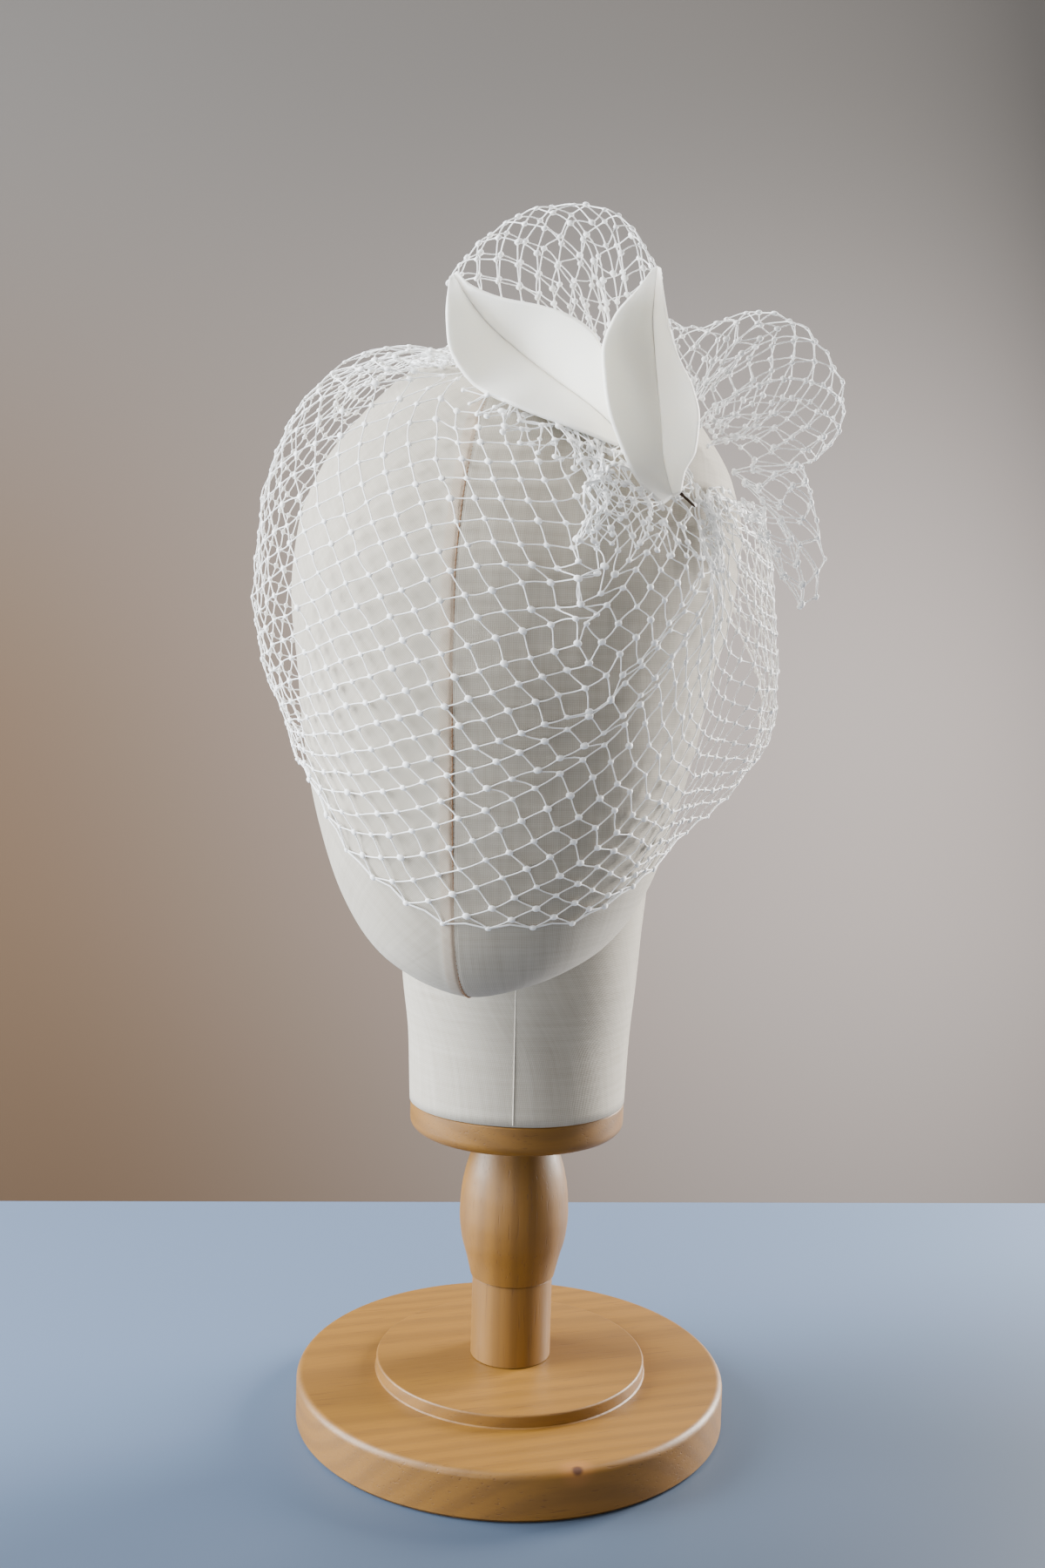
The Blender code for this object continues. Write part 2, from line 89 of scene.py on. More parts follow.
class Paint:
    def __init__(self, name):
        self.material = bpy.data.materials.new(name)
        self.material.use_nodes = True
        self.tree = self.material.node_tree
        self.shader = self.tree.nodes["Principled BSDF"]

    def node(self, kind, settings=None, values=None, output=0):
        made = self.tree.nodes.new(kind)
        for key, value in (settings or {}).items():
            setattr(made, key, value)
        for key, value in (values or {}).items():
            plug(self.tree, value, made.inputs[key])
        return Wire(self.tree, made.outputs[output])

    def place(self, source="Object"):
        return self.node("ShaderNodeTexCoord", output=source)

    def split(self, vector):
        made = self.tree.nodes.new("ShaderNodeSeparateXYZ")
        plug(self.tree, vector, made.inputs[0])
        return [Wire(self.tree, made.outputs[k]) for k in range(3)]

    def joined(self, x, y, z):
        return self.node("ShaderNodeCombineXYZ", values={0: x, 1: y, 2: z})

    def noise(self, place, scale, detail=2.0, rough=0.5):
        values = {"Vector": place, "Scale": scale, "Detail": detail, "Roughness": rough}
        return self.node("ShaderNodeTexNoise", values=values)

    def ramp(self, value, low, high, start=0.0, end=1.0):
        values = {0: value, 1: low, 2: high, 3: start, 4: end}
        return self.node("ShaderNodeMapRange", {"interpolation_type": "SMOOTHSTEP"}, values)

    def mix(self, share, first, second):
        values = {"Factor": share, 6: first, 7: second}
        return self.node("ShaderNodeMix", {"data_type": "RGBA"}, values, output=2)

    def bump(self, height, distance, strength=1.0):
        values = {"Strength": strength, "Distance": distance, "Height": height}
        return self.node("ShaderNodeBump", values=values)

    def set(self, **values):
        for key, value in values.items():
            plug(self.tree, value, self.shader.inputs[key.replace("_", " ")])


def rgb(hexCode):
    parts = [int(hexCode[k:k + 2], 16) / 255 for k in (0, 2, 4)]
    return tuple(p / 12.92 if p <= 0.04045 else ((p + 0.055) / 1.055) ** 2.4 for p in parts) + (1.0,)


# Table curves, directions and the head's surface
def hermite(t, a, start, b, end):
    return ((2 * t**3 - 3 * t**2 + 1) * a + (t**3 - 2 * t**2 + t) * start
            + (-2 * t**3 + 3 * t**2) * b + (t**3 - t**2) * end)


def curveThrough(rows, at):
    rows = np.asarray(rows, float)
    key, values = rows[:, 0], rows[:, 1:]
    step = np.diff(key)
    slope = np.diff(values, axis=0) / step[:, None]
    tangent = np.zeros_like(values)
    product = slope[:-1] * slope[1:]
    mean = 2 * product / (slope[:-1] + slope[1:] + 1e-12)
    tangent[1:-1] = np.where(product > 0, mean, 0.0)
    tangent[0], tangent[-1] = slope[0], slope[-1]
    at = np.clip(np.asarray(at, float), key[0], key[-1])
    row = np.clip(np.searchsorted(key, at, side="right") - 1, 0, len(step) - 1)
    width = step[row][..., None]
    t = ((at - key[row]) / step[row])[..., None]
    return hermite(t, values[row], width * tangent[row], values[row + 1], width * tangent[row + 1])


def unit(vectors):
    return vectors / np.maximum(np.linalg.norm(vectors, axis=-1, keepdims=True), 1e-9)


def bent(value, power):
    return np.sign(value) * np.abs(value) ** power


def lengthAlong(line):
    return np.concatenate(([0.0], np.cumsum(np.linalg.norm(np.diff(line, axis=0), axis=1))))


def between(start, end, share):
    angle = np.arccos(np.clip((start * end).sum(-1), -0.9995, 0.9995))[..., None]
    share = share[..., None]
    return unit(np.sin((1 - share) * angle) * start + np.sin(share * angle) * end)


def through(stations, values, at):
    total = np.zeros_like(at)
    for k, here in enumerate(stations):
        weight = np.ones_like(at)
        for other in stations:
            if other != here:
                weight = weight * (at - other) / (here - other)
        total = total + weight * values[..., k]
    return total


# The head: height, half width, y where it is widest, front y, back y
headRows = np.array((
    (174, 0.5, -74, -77, -71), (176.5, 13, -66, -90, -50),
    (181, 26, -60, -99, -24), (188, 37.5, -54, -105.5, 0),
    (198, 46, -51, -110, 22), (212, 53, -51.5, -113, 37),
    (230, 58.5, -53, -116, 47.5), (252, 64.3, -48, -118.5, 56),
    (278, 69.5, -38, -121, 64), (304, 74.8, -26, -121, 70),
    (326, 76, -12.5, -114.5, 72), (346, 71.7, -3, -101.5, 70),
    (363, 62.7, 3, -84, 63), (378, 51, 5, -63, 53),
    (389, 35.5, 6, -40, 38), (395, 19, 6, -20, 24),
    (397.5, 0.5, 5, 3.5, 6.5),
))
neckRows = np.array((
    (120.3, 39.8, 0, -39.8, 39.8), (145, 41, 0, -41.5, 40),
    (165, 43, -2, -44, 41), (185, 44.5, -3, -46, 43),
    (205, 46, -4, -48, 44), (225, 46, -3, -46, 44.5),
    (243, 43, 0, -40, 45),
))
squareness = 2.1
centre = np.array((0.0, -20.0, 300.0))


def insideHead(points):
    height = points[..., 2]
    half, widest, front, back = np.moveaxis(curveThrough(headRows, height), -1, 0)
    y = points[..., 1]
    deep = np.where(y < widest, (widest - y) / (widest - front), (y - widest) / (back - widest))
    size = np.abs(points[..., 0] / half) ** squareness + np.abs(deep) ** squareness
    return (size < 1) & (height > headRows[0, 0]) & (height < headRows[-1, 0])


def headReach(origin, direction):
    low = np.full(direction.shape[:-1], 5.0)
    high = np.full(direction.shape[:-1], 175.0)
    for _ in range(24):
        middle = (low + high) / 2
        within = insideHead(origin + direction * middle[..., None])
        low = np.where(within, middle, low)
        high = np.where(within, high, middle)
    return (low + high) / 2


def offHead(direction, gap):
    # gap: one for all directions or one for each
    return centre + direction * (headReach(centre, direction) + gap)[..., None]


def keptOffHead(points, least):
    offset = points - centre
    distance = np.linalg.norm(offset, axis=-1)
    direction = offset / distance[..., None]
    reach = np.maximum(distance, headReach(centre, direction) + least)
    return centre + direction * reach[..., None]


# Meshes
def linked(name, data):
    item = bpy.data.objects.new(name, data)
    bpy.context.scene.collection.objects.link(item)
    return item


def meshPiece(name, points, faces, material, slot, uv=None):
    mesh = bpy.data.meshes.new(name)
    mesh.from_pydata([tuple(p) for p in np.asarray(points) * mm], [], faces)
    if uv is not None:
        layer = mesh.uv_layers.new(name="flat")
        for loop in mesh.loops:
            layer.data[loop.index].uv = uv[loop.vertex_index]
    mesh.shade_smooth()
    mesh.materials.append(material)
    piece = linked(name, mesh)
    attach(piece, "root")
    return piece


def ringFaces(count, rings, sides, closed=True):
    # The faces round each of count stacks of rings, and their ends
    k, r, t = np.meshgrid(np.arange(count), np.arange(rings - 1), np.arange(sides), indexing="ij")
    low = (k * rings + r) * sides
    a, b = low + t, low + (t + 1) % sides
    faces = np.stack((a, b, b + sides, a + sides), axis=-1).reshape(-1, 4).tolist()
    for start in range(0, count * rings * sides if closed else 0, rings * sides):
        last = start + (rings - 1) * sides
        faces.append(range(start + sides - 1, start - 1, -1))
        faces.append(range(last, last + sides))
    return [tuple(face) for face in faces]


def tubeMesh(lines, radii, sides):
    # Rods along many lines at once, count x steps x 3, with one radius or one for each step
    count, steps = lines.shape[:2]
    radii = np.broadcast_to(radii, (count, steps))
    along = unit(np.gradient(lines, axis=1))
    side = unit(np.cross(along, np.array((0.31, 0.23, 0.92))))
    over = np.cross(along, side)
    turn = np.arange(sides) * 2 * math.pi / sides
    ring = (side[:, :, None] * np.cos(turn)[:, None] + over[:, :, None] * np.sin(turn)[:, None])
    points = lines[:, :, None] + ring * radii[:, :, None, None]
    return points.reshape(-1, 3), ringFaces(count, steps, sides, False)


def joinedParts(parts):
    points, faces, start = [], [], 0
    for partPoints, partFaces in parts:
        points.append(partPoints)
        faces += [tuple(v + start for v in face) for face in partFaces]
        start += len(partPoints)
    return np.concatenate(points), faces


# Materials
woodLook = {"pale": rgb("845b18"), "dark": rgb("5e3e0f"), "pore": rgb("4c2a0c"), "ring": 6.5,
            "grainTurn": 28.0, "knotPlace": (0.037, -0.0705, 0.0172), "knotHalo": rgb("9a6433"),
            "knotCore": rgb("4a2a16")}


def woodPaint(name, upright):
    look = woodLook
    paint = Paint(name)
    place = paint.place()
    x, y, z = paint.split(place)
    turn = math.radians(look["grainTurn"])
    along = x * math.cos(turn) + y * math.sin(turn)
    aside = y * math.cos(turn) - x * math.sin(turn)
    if upright:
        along, aside, other = z, x + 0.03, y + 0.021
    else:
        other = z - 0.055
    stretched = paint.joined(along * 0.16, aside, other)
    wander = paint.noise(stretched, 16.0, 3.0) - 0.5
    far = (aside * aside + other * other) ** 0.5 + wander * 0.011
    ringed = (far * (fullTurn / (look["ring"] * mm))).math("SINE") * 0.5 + 0.5
    rings = paint.ramp(ringed, 0.15, 1.0)
    fine = paint.noise(paint.joined(along * 26.0, aside * 900.0, other * 900.0), 1.0, 3.0, 0.6)
    pores = paint.ramp(paint.noise(paint.joined(along * 60.0, aside * 1500.0, other * 1500.0), 1.0, 1.0),
                       0.64, 0.74)
    broad = paint.noise(stretched, 24.0, 2.0)
    base = paint.mix(rings * 0.24 + fine * 0.3 + broad * 0.46, look["pale"], look["dark"])
    base = paint.mix(pores * 0.42, base, look["pore"])
    if not upright:
        ends = {0: place, 1: look["knotPlace"]}
        near = paint.node("ShaderNodeVectorMath", {"operation": "DISTANCE"}, ends, output=1)
        spot = paint.ramp(near + wander * 0.004, 0.0012, 0.0026, 1.0, 0.0)
        halo = paint.ramp(near + wander * 0.006, 0.002, 0.008, 1.0, 0.0)
        base = paint.mix(halo * 0.4, base, look["knotHalo"])
        base = paint.mix(spot, base, look["knotCore"])
    relief = fine * 0.5 - pores * 0.8 + rings * 0.2
    paint.set(Base_Color=base, Roughness=0.44 + fine * 0.16, Normal=paint.bump(relief, 0.00007, 0.8),
              Coat_Weight=0.12, Coat_Roughness=0.3)
    return paint.material


canvasLook = {"light": rgb("c3bdb1"), "dark": rgb("7c705d"), "fleck": rgb("6f665a"), "fold": rgb("b7987c"),
              "pitch": 0.55, "relief": 0.0001}


def canvasPaint(name, bias):
    look = canvasLook
    paint = Paint(name)
    u, v, _ = paint.split(paint.place("UV"))
    place = paint.place()
    wander = paint.noise(place, 260.0, 2.0) - 0.5
    turnLeft = paint.ramp(u, -0.001, 0.001, 1.0, 0.0) if bias else 0.0
    slant = 0.7071  # cloth left of the seam lies at 45 degrees
    across = u + (u * (slant - 1.0) + v * slant) * turnLeft + wander * 0.00032
    down = v + (v * (slant - 1.0) - u * slant) * turnLeft + wander * 0.00032
    rate = fullTurn / (look["pitch"] * mm)
    warp = (across * rate).math("SINE") * 0.5 + 0.5
    weft = (down * rate).math("SINE") * 0.5 + 0.5
    slub = paint.noise(paint.joined(across * 560.0, down * 30.0, 0.0), 1.0, 2.0)
    slubs = paint.noise(paint.joined(across * 30.0, down * 560.0, 3.0), 1.0, 2.0)
    cloth = warp * 0.55 + weft * 0.45
    tone = cloth * 0.34 + slub * 0.33 + slubs * 0.33
    patch = paint.noise(place, 18.0, 2.0)
    base = paint.mix(tone * 1.1 + patch * 0.2, look["dark"], look["light"])
    flecks = paint.ramp(paint.noise(place, 420.0, 1.0), 0.79, 0.83)
    flecks = flecks * paint.ramp(paint.noise(place, 60.0, 1.0), 0.5, 0.6)
    base = paint.mix(flecks * 0.75, base, look["fleck"])
    if bias:
        band = paint.ramp(u, -0.0046, -0.0036) * paint.ramp(u, -0.0002, 0.0002, 1.0, 0.0)
        near = paint.ramp(u, -0.0022, -0.0004)
        base = paint.mix(band * (near * 0.3 + 0.22), base, look["fold"])
    relief = cloth * 0.6 + slub * 0.25 + slubs * 0.25
    paint.set(Base_Color=base, Roughness=0.86 + slub * 0.1,
              Normal=paint.bump(relief, look["relief"], 0.9),
              Sheen_Weight=0.12, Sheen_Roughness=0.5, Specular_IOR_Level=0.2)
    return paint.material


netLook = {"thread": rgb("ffffff"), "shade": rgb("f2f4f5")}


def netPaint():
    paint = Paint("netThread")
    twist = paint.noise(paint.place(), 2600.0, 1.0)
    base = paint.mix(twist, netLook["shade"], netLook["thread"])
    paint.set(Base_Color=base, Roughness=0.38 + twist * 0.2, Normal=paint.bump(twist, 0.00005, 0.5),
              Subsurface_Weight=0.35, Subsurface_Radius=(0.001, 0.001, 0.001),
              Sheen_Weight=0.6, Sheen_Roughness=0.6)
    return paint.material


satinLook = {"light": rgb("fffbf0"), "shade": rgb("fbf4e6"), "pitch": 0.34}


def satinPaint():
    paint = Paint("ivorySatin")
    u, v, _ = paint.split(paint.place("UV"))
    place = paint.place()
    rate = fullTurn / (satinLook["pitch"] * mm)
    wander = paint.noise(place, 300.0, 2.0) * 0.0002
    twill = ((u * 0.83 + v * 0.55 + wander) * rate).math("SINE") * 0.5 + 0.5
    nap = paint.noise(place, 900.0, 3.0, 0.6)
    broad = paint.noise(place, 45.0, 2.0)
    base = paint.mix(nap * 0.4 + broad * 0.5, satinLook["shade"], satinLook["light"])
    paint.set(Base_Color=base, Roughness=0.52 + nap * 0.2,
              Normal=paint.bump(twill * 0.35 + nap * 0.65 + broad * 1.4, 0.00007, 0.6),
              Sheen_Weight=0.25, Sheen_Roughness=0.4, Subsurface_Weight=0.7, Subsurface_Scale=1.0,
              Subsurface_Radius=(0.0035, 0.0033, 0.003))
    return paint.material


def threadPaint(name, light, shade):
    paint = Paint(name)
    twist = paint.noise(paint.place(), 3200.0, 1.0)
    paint.set(Base_Color=paint.mix(twist, light, shade), Roughness=0.6 + twist * 0.2,
              Normal=paint.bump(twist, 0.00005, 0.6))
    return paint.material


def steelPaint():
    paint = Paint("darkSteel")
    worn = paint.noise(paint.place(), 900.0, 3.0)
    base = paint.mix(worn, rgb("5b4a3c"), rgb("3a2f28"))
    paint.set(Base_Color=base, Roughness=0.3 + worn * 0.2, Metallic=1.0)
    return paint.material


print("materials")
turnedWood = woodPaint("turnedWood", True)
boardWood = woodPaint("boardWood", False)
canvas = canvasPaint("headCanvas", True)
neckCanvas = canvasPaint("neckCanvas", False)
net = netPaint()
satin = satinPaint()
tanThread = threadPaint("tanThread", rgb("8f6a47"), rgb("6f4e31"))
paleThread = threadPaint("paleThread", rgb("e9e3d6"), rgb("cfc7b6"))
steel = steelPaint()


# The turned stand
standLook = {"sides": 144, "softEdge": 0.8, "sharpFrom": 28.0}


def turnedPiece(name, profile, material, node):
    sides = standLook["sides"]
    turn = np.arange(sides) * 2 * math.pi / sides
    points = [(radius * math.cos(t), radius * math.sin(t), height)
              for radius, height in profile for t in turn]
    piece = meshPiece(name, points, ringFaces(1, len(profile), sides), material, "honey_wood")
    piece.data.set_sharp_from_angle(angle=math.radians(standLook["sharpFrom"]))
    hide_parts(node)


def arcOut(radius, height, size, rising, steps=6):
    turns = [math.pi / 2 * step / steps for step in range(steps + 1)]
    if rising:
        return [(radius - size + size * math.sin(t), height + size - size * math.cos(t)) for t in turns]
    return [(radius - size + size * math.cos(t), height - size + size * math.sin(t)) for t in turns]


print("stand")
soft = standLook["softEdge"]
baseProfile = [(78.8, 0.0), (80.0, 1.2)] + arcOut(80.0, 17.1, 2.6, False)
baseProfile += [(50.9, 17.1), (50.4, 17.5)] + arcOut(50.4, 21.8, soft, False)
turnedPiece("standBase", baseProfile, boardWood, "stand_base")
turnedPiece("standPost", [(15.0, 22.1), (15.0, 52.3), (14.7, 52.7)], turnedWood, "stand_post")
bulbTable = np.array((
    (53.0, 15.8), (60.0, 17.5), (68.0, 19.6), (76.0, 20.4), (84.0, 20.0),
    (92.0, 18.7), (97.0, 17.3), (103.0, 15.2), (108.7, 14.0)))
bulbLevels = np.linspace(53.0, 108.7, 40)
bulbRadii = curveThrough(bulbTable, bulbLevels)[:, 0]
turnedPiece("standBulb", list(zip(bulbRadii, bulbLevels)), turnedWood, "stand_bulb")
discProfile = arcOut(39.8, 109.0, 4.0, True) + [(39.8, 119.6), (39.4, 120.0)]
turnedPiece("neckDisc", discProfile, boardWood, "neck_disc")


# The canvas head and its neck
headLook = {
    "sides": 200, "levels": 130, "seamDeep": 0.3, "seamWide": 0.55,
    "ridgeHigh": 0.7, "ridgeWide": 5.5, "allowanceHigh": 0.22, "allowanceWide": 4.6,
    "bottom": 174.2, "top": 397.3, "seamClose": 0.8, "seamTight": 1.7, "uneven": 0.22,
    "neckSides": 120, "neckLevels": 40, "neckBottom": 120.3, "neckTop": 243.0, "neckUneven": 0.18,
}


def roundAngles(sides, close, tight):
    # Angles round a level, drawn closer together near the seam at the front
    spread = np.linspace(-1, 1, sides, endpoint=False)
    return -math.pi / 2 + (spread * (1 - close) + close * bent(spread, tight)) * math.pi


def headLevel(row, turn):
    height, half, widest, front, back = row
    power = 2 / squareness
    across, deep = bent(np.cos(turn), power), bent(np.sin(turn), power)
    depth = np.where(deep < 0, widest + (widest - front) * deep, widest + (back - widest) * deep)
    return np.stack((half * across, depth, np.full(len(turn), height)), axis=1)


def wrinkle(points, seed):
    # Smooth uneven padding under the cloth, in millimetres
    rng = np.random.default_rng(seed)
    total = np.zeros(len(points))
    for _ in range(26):
        wave = rng.normal(size=3) * 0.055
        total += np.sin(points @ wave + rng.uniform(0, 6.28))
    return total / 26 ** 0.5


def skin(name, rows, turn, material, seam, seed, uneven):
    grid = np.stack([headLevel(row, turn) for row in rows])
    levels, sides = grid.shape[:2]
    middle = grid.mean(axis=1, keepdims=True)
    outward = unit(grid - middle)
    lift = uneven * wrinkle(grid.reshape(-1, 3), seed).reshape(levels, sides)
    if seam:
        x = grid[..., 0]
        groove = -headLook["seamDeep"] * np.exp(-(x / headLook["seamWide"]) ** 2)
        wide = headLook["allowanceWide"]
        ridge = headLook["allowanceHigh"] * np.exp(-((x + wide / 2) / (wide / 2)) ** 4)
        crease = headLook["ridgeHigh"] * np.exp(-np.abs(x) / headLook["ridgeWide"])
        lift = lift + (groove + ridge + crease)
    grid = grid + outward * lift[..., None]
    gaps = np.linalg.norm(np.diff(np.concatenate((grid, grid[:, :1]), axis=1), axis=1), axis=2)
    girth = np.concatenate((np.zeros((levels, 1)), np.cumsum(gaps, axis=1)), axis=1)
    seamAt = np.argmin(np.abs(turn + math.pi / 2))
    girth = girth[:, :-1] - girth[:, seamAt:seamAt + 1]
    rise = np.linalg.norm(np.diff(grid, axis=0), axis=2).mean(axis=1)
    rise = np.concatenate(([0.0], np.cumsum(rise)))
    uv = np.stack((girth, np.broadcast_to(rise[:, None], girth.shape)), axis=-1).reshape(-1, 2) * mm
    return meshPiece(name, grid.reshape(-1, 3), ringFaces(1, levels, sides), material, "head_canvas", uv=uv)


print("head")
spreadLevels = 0.5 - 0.5 * np.cos(np.linspace(0, math.pi, headLook["levels"]))
evenLevels = np.linspace(0, 1, headLook["levels"])
low, high = headLook["bottom"], headLook["top"]
levels = low + (high - low) * (0.55 * spreadLevels + 0.45 * evenLevels)
headTable = [(z, *curveThrough(headRows, z)) for z in levels]
seamTurn = roundAngles(headLook["sides"], headLook["seamClose"], headLook["seamTight"])
canvasHead = skin("canvasHead", headTable, seamTurn, canvas, True, 4, headLook["uneven"])
neckLevels = np.linspace(headLook["neckBottom"], headLook["neckTop"], headLook["neckLevels"])
neckTable = [(z, *curveThrough(neckRows, z)) for z in neckLevels]
neckTurn = np.linspace(0, 2 * math.pi, headLook["neckSides"], endpoint=False)
canvasNeck = skin("canvasNeck", neckTable, neckTurn, neckCanvas, False, 9, headLook["neckUneven"])
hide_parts("head_form")


# Whip stitches down the head's seam, and the neck's pale seam
stitchLook = {"pitch": 1.7, "reach": 1.0, "slant": 0.4, "radius": 0.11, "proud": 0.42,
              "cordOut": -0.32, "cordRadius": 0.16, "neckTurn": 8.0, "neckRadius": 0.17}


def frontSeam():
    heights = np.linspace(175.5, 396.0, 900)
    front = curveThrough(headRows, heights)[:, 2]
    line = np.stack((np.zeros_like(heights), front, heights), axis=1)
    return line, lengthAlong(line)


def alongLine(line, length, at):
    return np.stack([np.interp(at, length, line[:, k]) for k in range(3)], axis=1)


def stitchRow(line, length, look, seed):
    rng = np.random.default_rng(seed)
    at = np.arange(2.0, length[-1] - 2.0, look["pitch"])
    at = at + rng.uniform(-0.25, 0.25, len(at))
    middle = alongLine(line, length, at)
    along = unit(alongLine(line, length, at + 0.5) - alongLine(line, length, at - 0.5))
    side = np.array((1.0, 0.0, 0.0))
    outward = unit(np.cross(along, side))
    outward = np.where(((middle - centre) * outward).sum(1, keepdims=True) < 0, -outward, outward)
    rods = []
    for step in np.linspace(-1, 1, 5):
        push = rng.uniform(0.85, 1.15, len(at))[:, None]
        rods.append(middle + side * step * look["reach"] * 0.5 * push + along * step * look["slant"]
                    + outward * (look["proud"] - 0.3 * step * step))
    lines = np.stack(rods, axis=1)
    return tubeMesh(lines, look["radius"], 6)


print("stitches")
seamLine, seamLength = frontSeam()
seamThread = (seamLine + np.array((0.0, stitchLook["cordOut"], 0.0)))[None, ::3]
rod = tubeMesh(seamThread, stitchLook["cordRadius"], 6)
stitches = joinedParts((stitchRow(seamLine, seamLength, stitchLook, 3), rod))
meshPiece("seamStitches", *stitches, tanThread, "head_canvas")
neckHeights = np.linspace(121.0, 186.0, 80)
seamTurned = np.array((-math.pi / 2 + math.radians(stitchLook["neckTurn"]),))
neckFront = np.stack([headLevel((z, *curveThrough(neckRows, z)), seamTurned)[0] for z in neckHeights])
meshPiece("neckSeam", *tubeMesh(neckFront[None], stitchLook["neckRadius"], 6), paleThread, "head_canvas")


# The net's surface, from the header to the hem: degrees round the head, the hem's height,
# then the gap off the head a quarter, half and three quarters of the way down and at the hem
veilRows = np.array((
    (-188, 350, 4, 5, 5, 4), (-166, 308, 1.6, 3.5, 8, 5),
    (-138, 280, 5.2, 12, 11, 6), (-110, 268, 17.5, 13.8, 13.5, 4),
    (-84, 262, 18, 13, 14, 3.7), (-58, 255, 8, 7.7, 8, 4.2),
    (-38, 247, 4, 3.4, 2.5, 3), (-24, 223.5, 2.5, 2.6, 2, 1.4),
    (-12, 211.5, 2.5, 2.3, 1.8, 1.4), (1, 203, 2.5, 2.2, 1.8, 1.4),
    (18, 202.5, 2.5, 2.4, 1.8, 1.4), (40, 213.5, 2.5, 2.6, 2, 1.4),
    (62, 226, 2.5, 2.8, 4, 3.4), (84, 244, 2.5, 4.5, 8.4, 15.3),
    (104, 262, 3.5, 9.8, 21.8, 23.4), (126, 284, 4, 10.8, 18.9, 29),
    (150, 316, 3.5, 8, 13, 16),
))
headerEnds = np.array(((-8.0, -70.0, 372.0), (63.0, -63.0, 337.0)))
# Share of the hem's length, share of the header's
headerShare = np.array(
    ((0.0, 0.0), (0.3, 0.0), (0.4, 0.12), (0.5, 0.4), (0.6, 0.7), (0.72, 1.0), (1.0, 1.0)))
# The folds: share of the way down, place along the hem, overlap, lift
leftFold = np.array((
    (0.00, 323, 0, 0), (0.14, 323, 4, 0.3), (0.22, 324, 15, 2),
    (0.30, 326, 24, 5.2), (0.38, 330, 27, 6.4), (0.46, 333, 26.5, 6.6),
    (0.53, 337, 22, 5.6), (0.60, 342, 15, 3.6), (0.70, 348, 7, 1.4),
    (0.82, 350, 0, 0), (1.00, 350, 0, 0),
))
rightFold = np.array((
    (0.00, 409, 0, 0), (0.18, 413, 3, 0.3), (0.28, 421, 11.5, 4.2),
    (0.36, 425, 13, 6), (0.44, 426, 11, 4.4), (0.54, 427, 6, 1.6),
    (0.64, 427, 0, 0), (1.00, 427, 0, 0),
))
veilLook = {
    "side": 7.15, "half": 6.75, "start": 3.9, "topGap": 2.2,
    "gathers": 16, "gatherHigh": 1.0, "foldReach": 20.0, "pouchBlend": (354.0, 414.0),
    "spacing": ((0.0, 0.3, 0.7, 0.9, 1.0), (0.93, 0.76, 0.66, 0.4, 0.2)),
    "thread": 0.205, "knot": (1.1, 0.8, 0.52), "hem": 0.3, "loose": 0.25, "pathsApart": 4,
}
settleLook = {"rounds": 500, "ease": 1.5, "slack": 0.5}


def hemRow(place):
    table = np.column_stack((np.arange(len(veilRows)), veilRows))
    values = curveThrough(table, place)
    turn = np.radians(values[..., 0])
    level = np.stack((np.zeros_like(turn), np.full_like(turn, centre[1]), values[..., 1]), -1)
    outward = np.stack((np.sin(turn), -np.cos(turn), np.zeros_like(turn)), -1)
    hem = level + outward * headReach(level, outward)[..., None]
    return unit(hem - centre), values[..., 2:]


def hemScale():
    place = np.linspace(0, len(veilRows) - 1, 800)
    direction, gaps = hemRow(place)
    return place, lengthAlong(offHead(direction, gaps[..., -1]))


def foldShift(along, down, table, sense):
    place, overlap, lift = np.moveaxis(curveThrough(table, down), -1, 0)
    reach = veilLook["foldReach"]
    x = along - place
    shift = -overlap * 2 * reach * x / (x**2 + reach**2)
    rise = 0.5 + 0.5 * np.tanh(sense * x / (0.45 * reach))
    return shift, rise, lift


def headerWay(share):
    ends = unit(headerEnds - centre)
    return between(np.broadcast_to(ends[0], share.shape + (3,)), ends[1], share)


def veilPoints(along, down, scale):
    place, length = scale
    left = foldShift(along, down, leftFold, 1)
    right = foldShift(along, down, rightFold, -1)
    low, high = veilLook["pouchBlend"]
    blend = np.clip((along - low) / (high - low), 0, 1)
    pouch = (left[2] + (right[2] - left[2]) * blend) * left[1] * right[1]
    moved = np.clip(along + left[0] + right[0], 0, length[-1])
    direction, gaps = hemRow(np.interp(moved, length, place))
    share = curveThrough(headerShare, moved / length[-1])[..., 0]
    path = between(headerWay(share), direction, down)
    gaps = np.concatenate((np.full(gaps.shape[:-1] + (1,), veilLook["topGap"]), gaps), axis=-1)
    gap = through((0.0, 0.25, 0.5, 0.75, 1.0), gaps, down)
    wane = np.clip((down - 0.06) / 0.24, 0, 1)
    ripple = veilLook["gatherHigh"] * np.sin(math.pi * wane)
    gap = gap + pouch + ripple * np.sin(along / length[-1] * 2 * math.pi * veilLook["gathers"])
    return offHead(path, gap)


def netPiece(name, mesh):
    return meshPiece(name, *mesh, net, "white_net")


# Knotted rows, walked up each column's path from the free edge by the height
# that a cell keeps as the columns draw together
def knitRows(paths, side, spacing):
    steps = np.linalg.norm(np.diff(paths, axis=1), axis=2)
    length = np.concatenate((np.zeros((len(paths), 1)), np.cumsum(steps, axis=1)), axis=1)
    index = np.arange(paths.shape[1])
    total = length[:, -1]
    where = total.copy()
    rows, held = [], []
    while (where > 0).any() and len(rows) < 90:
        rows.append(np.array([np.interp(w, reach, index) for w, reach in zip(np.maximum(where, 0), length)]))
        held.append(where > 0)
        near = np.interp(1 - where / total, spacing[0], spacing[1]) * side
        where = where - np.sqrt(side**2 - near**2)
    return np.stack(rows), np.stack(held)


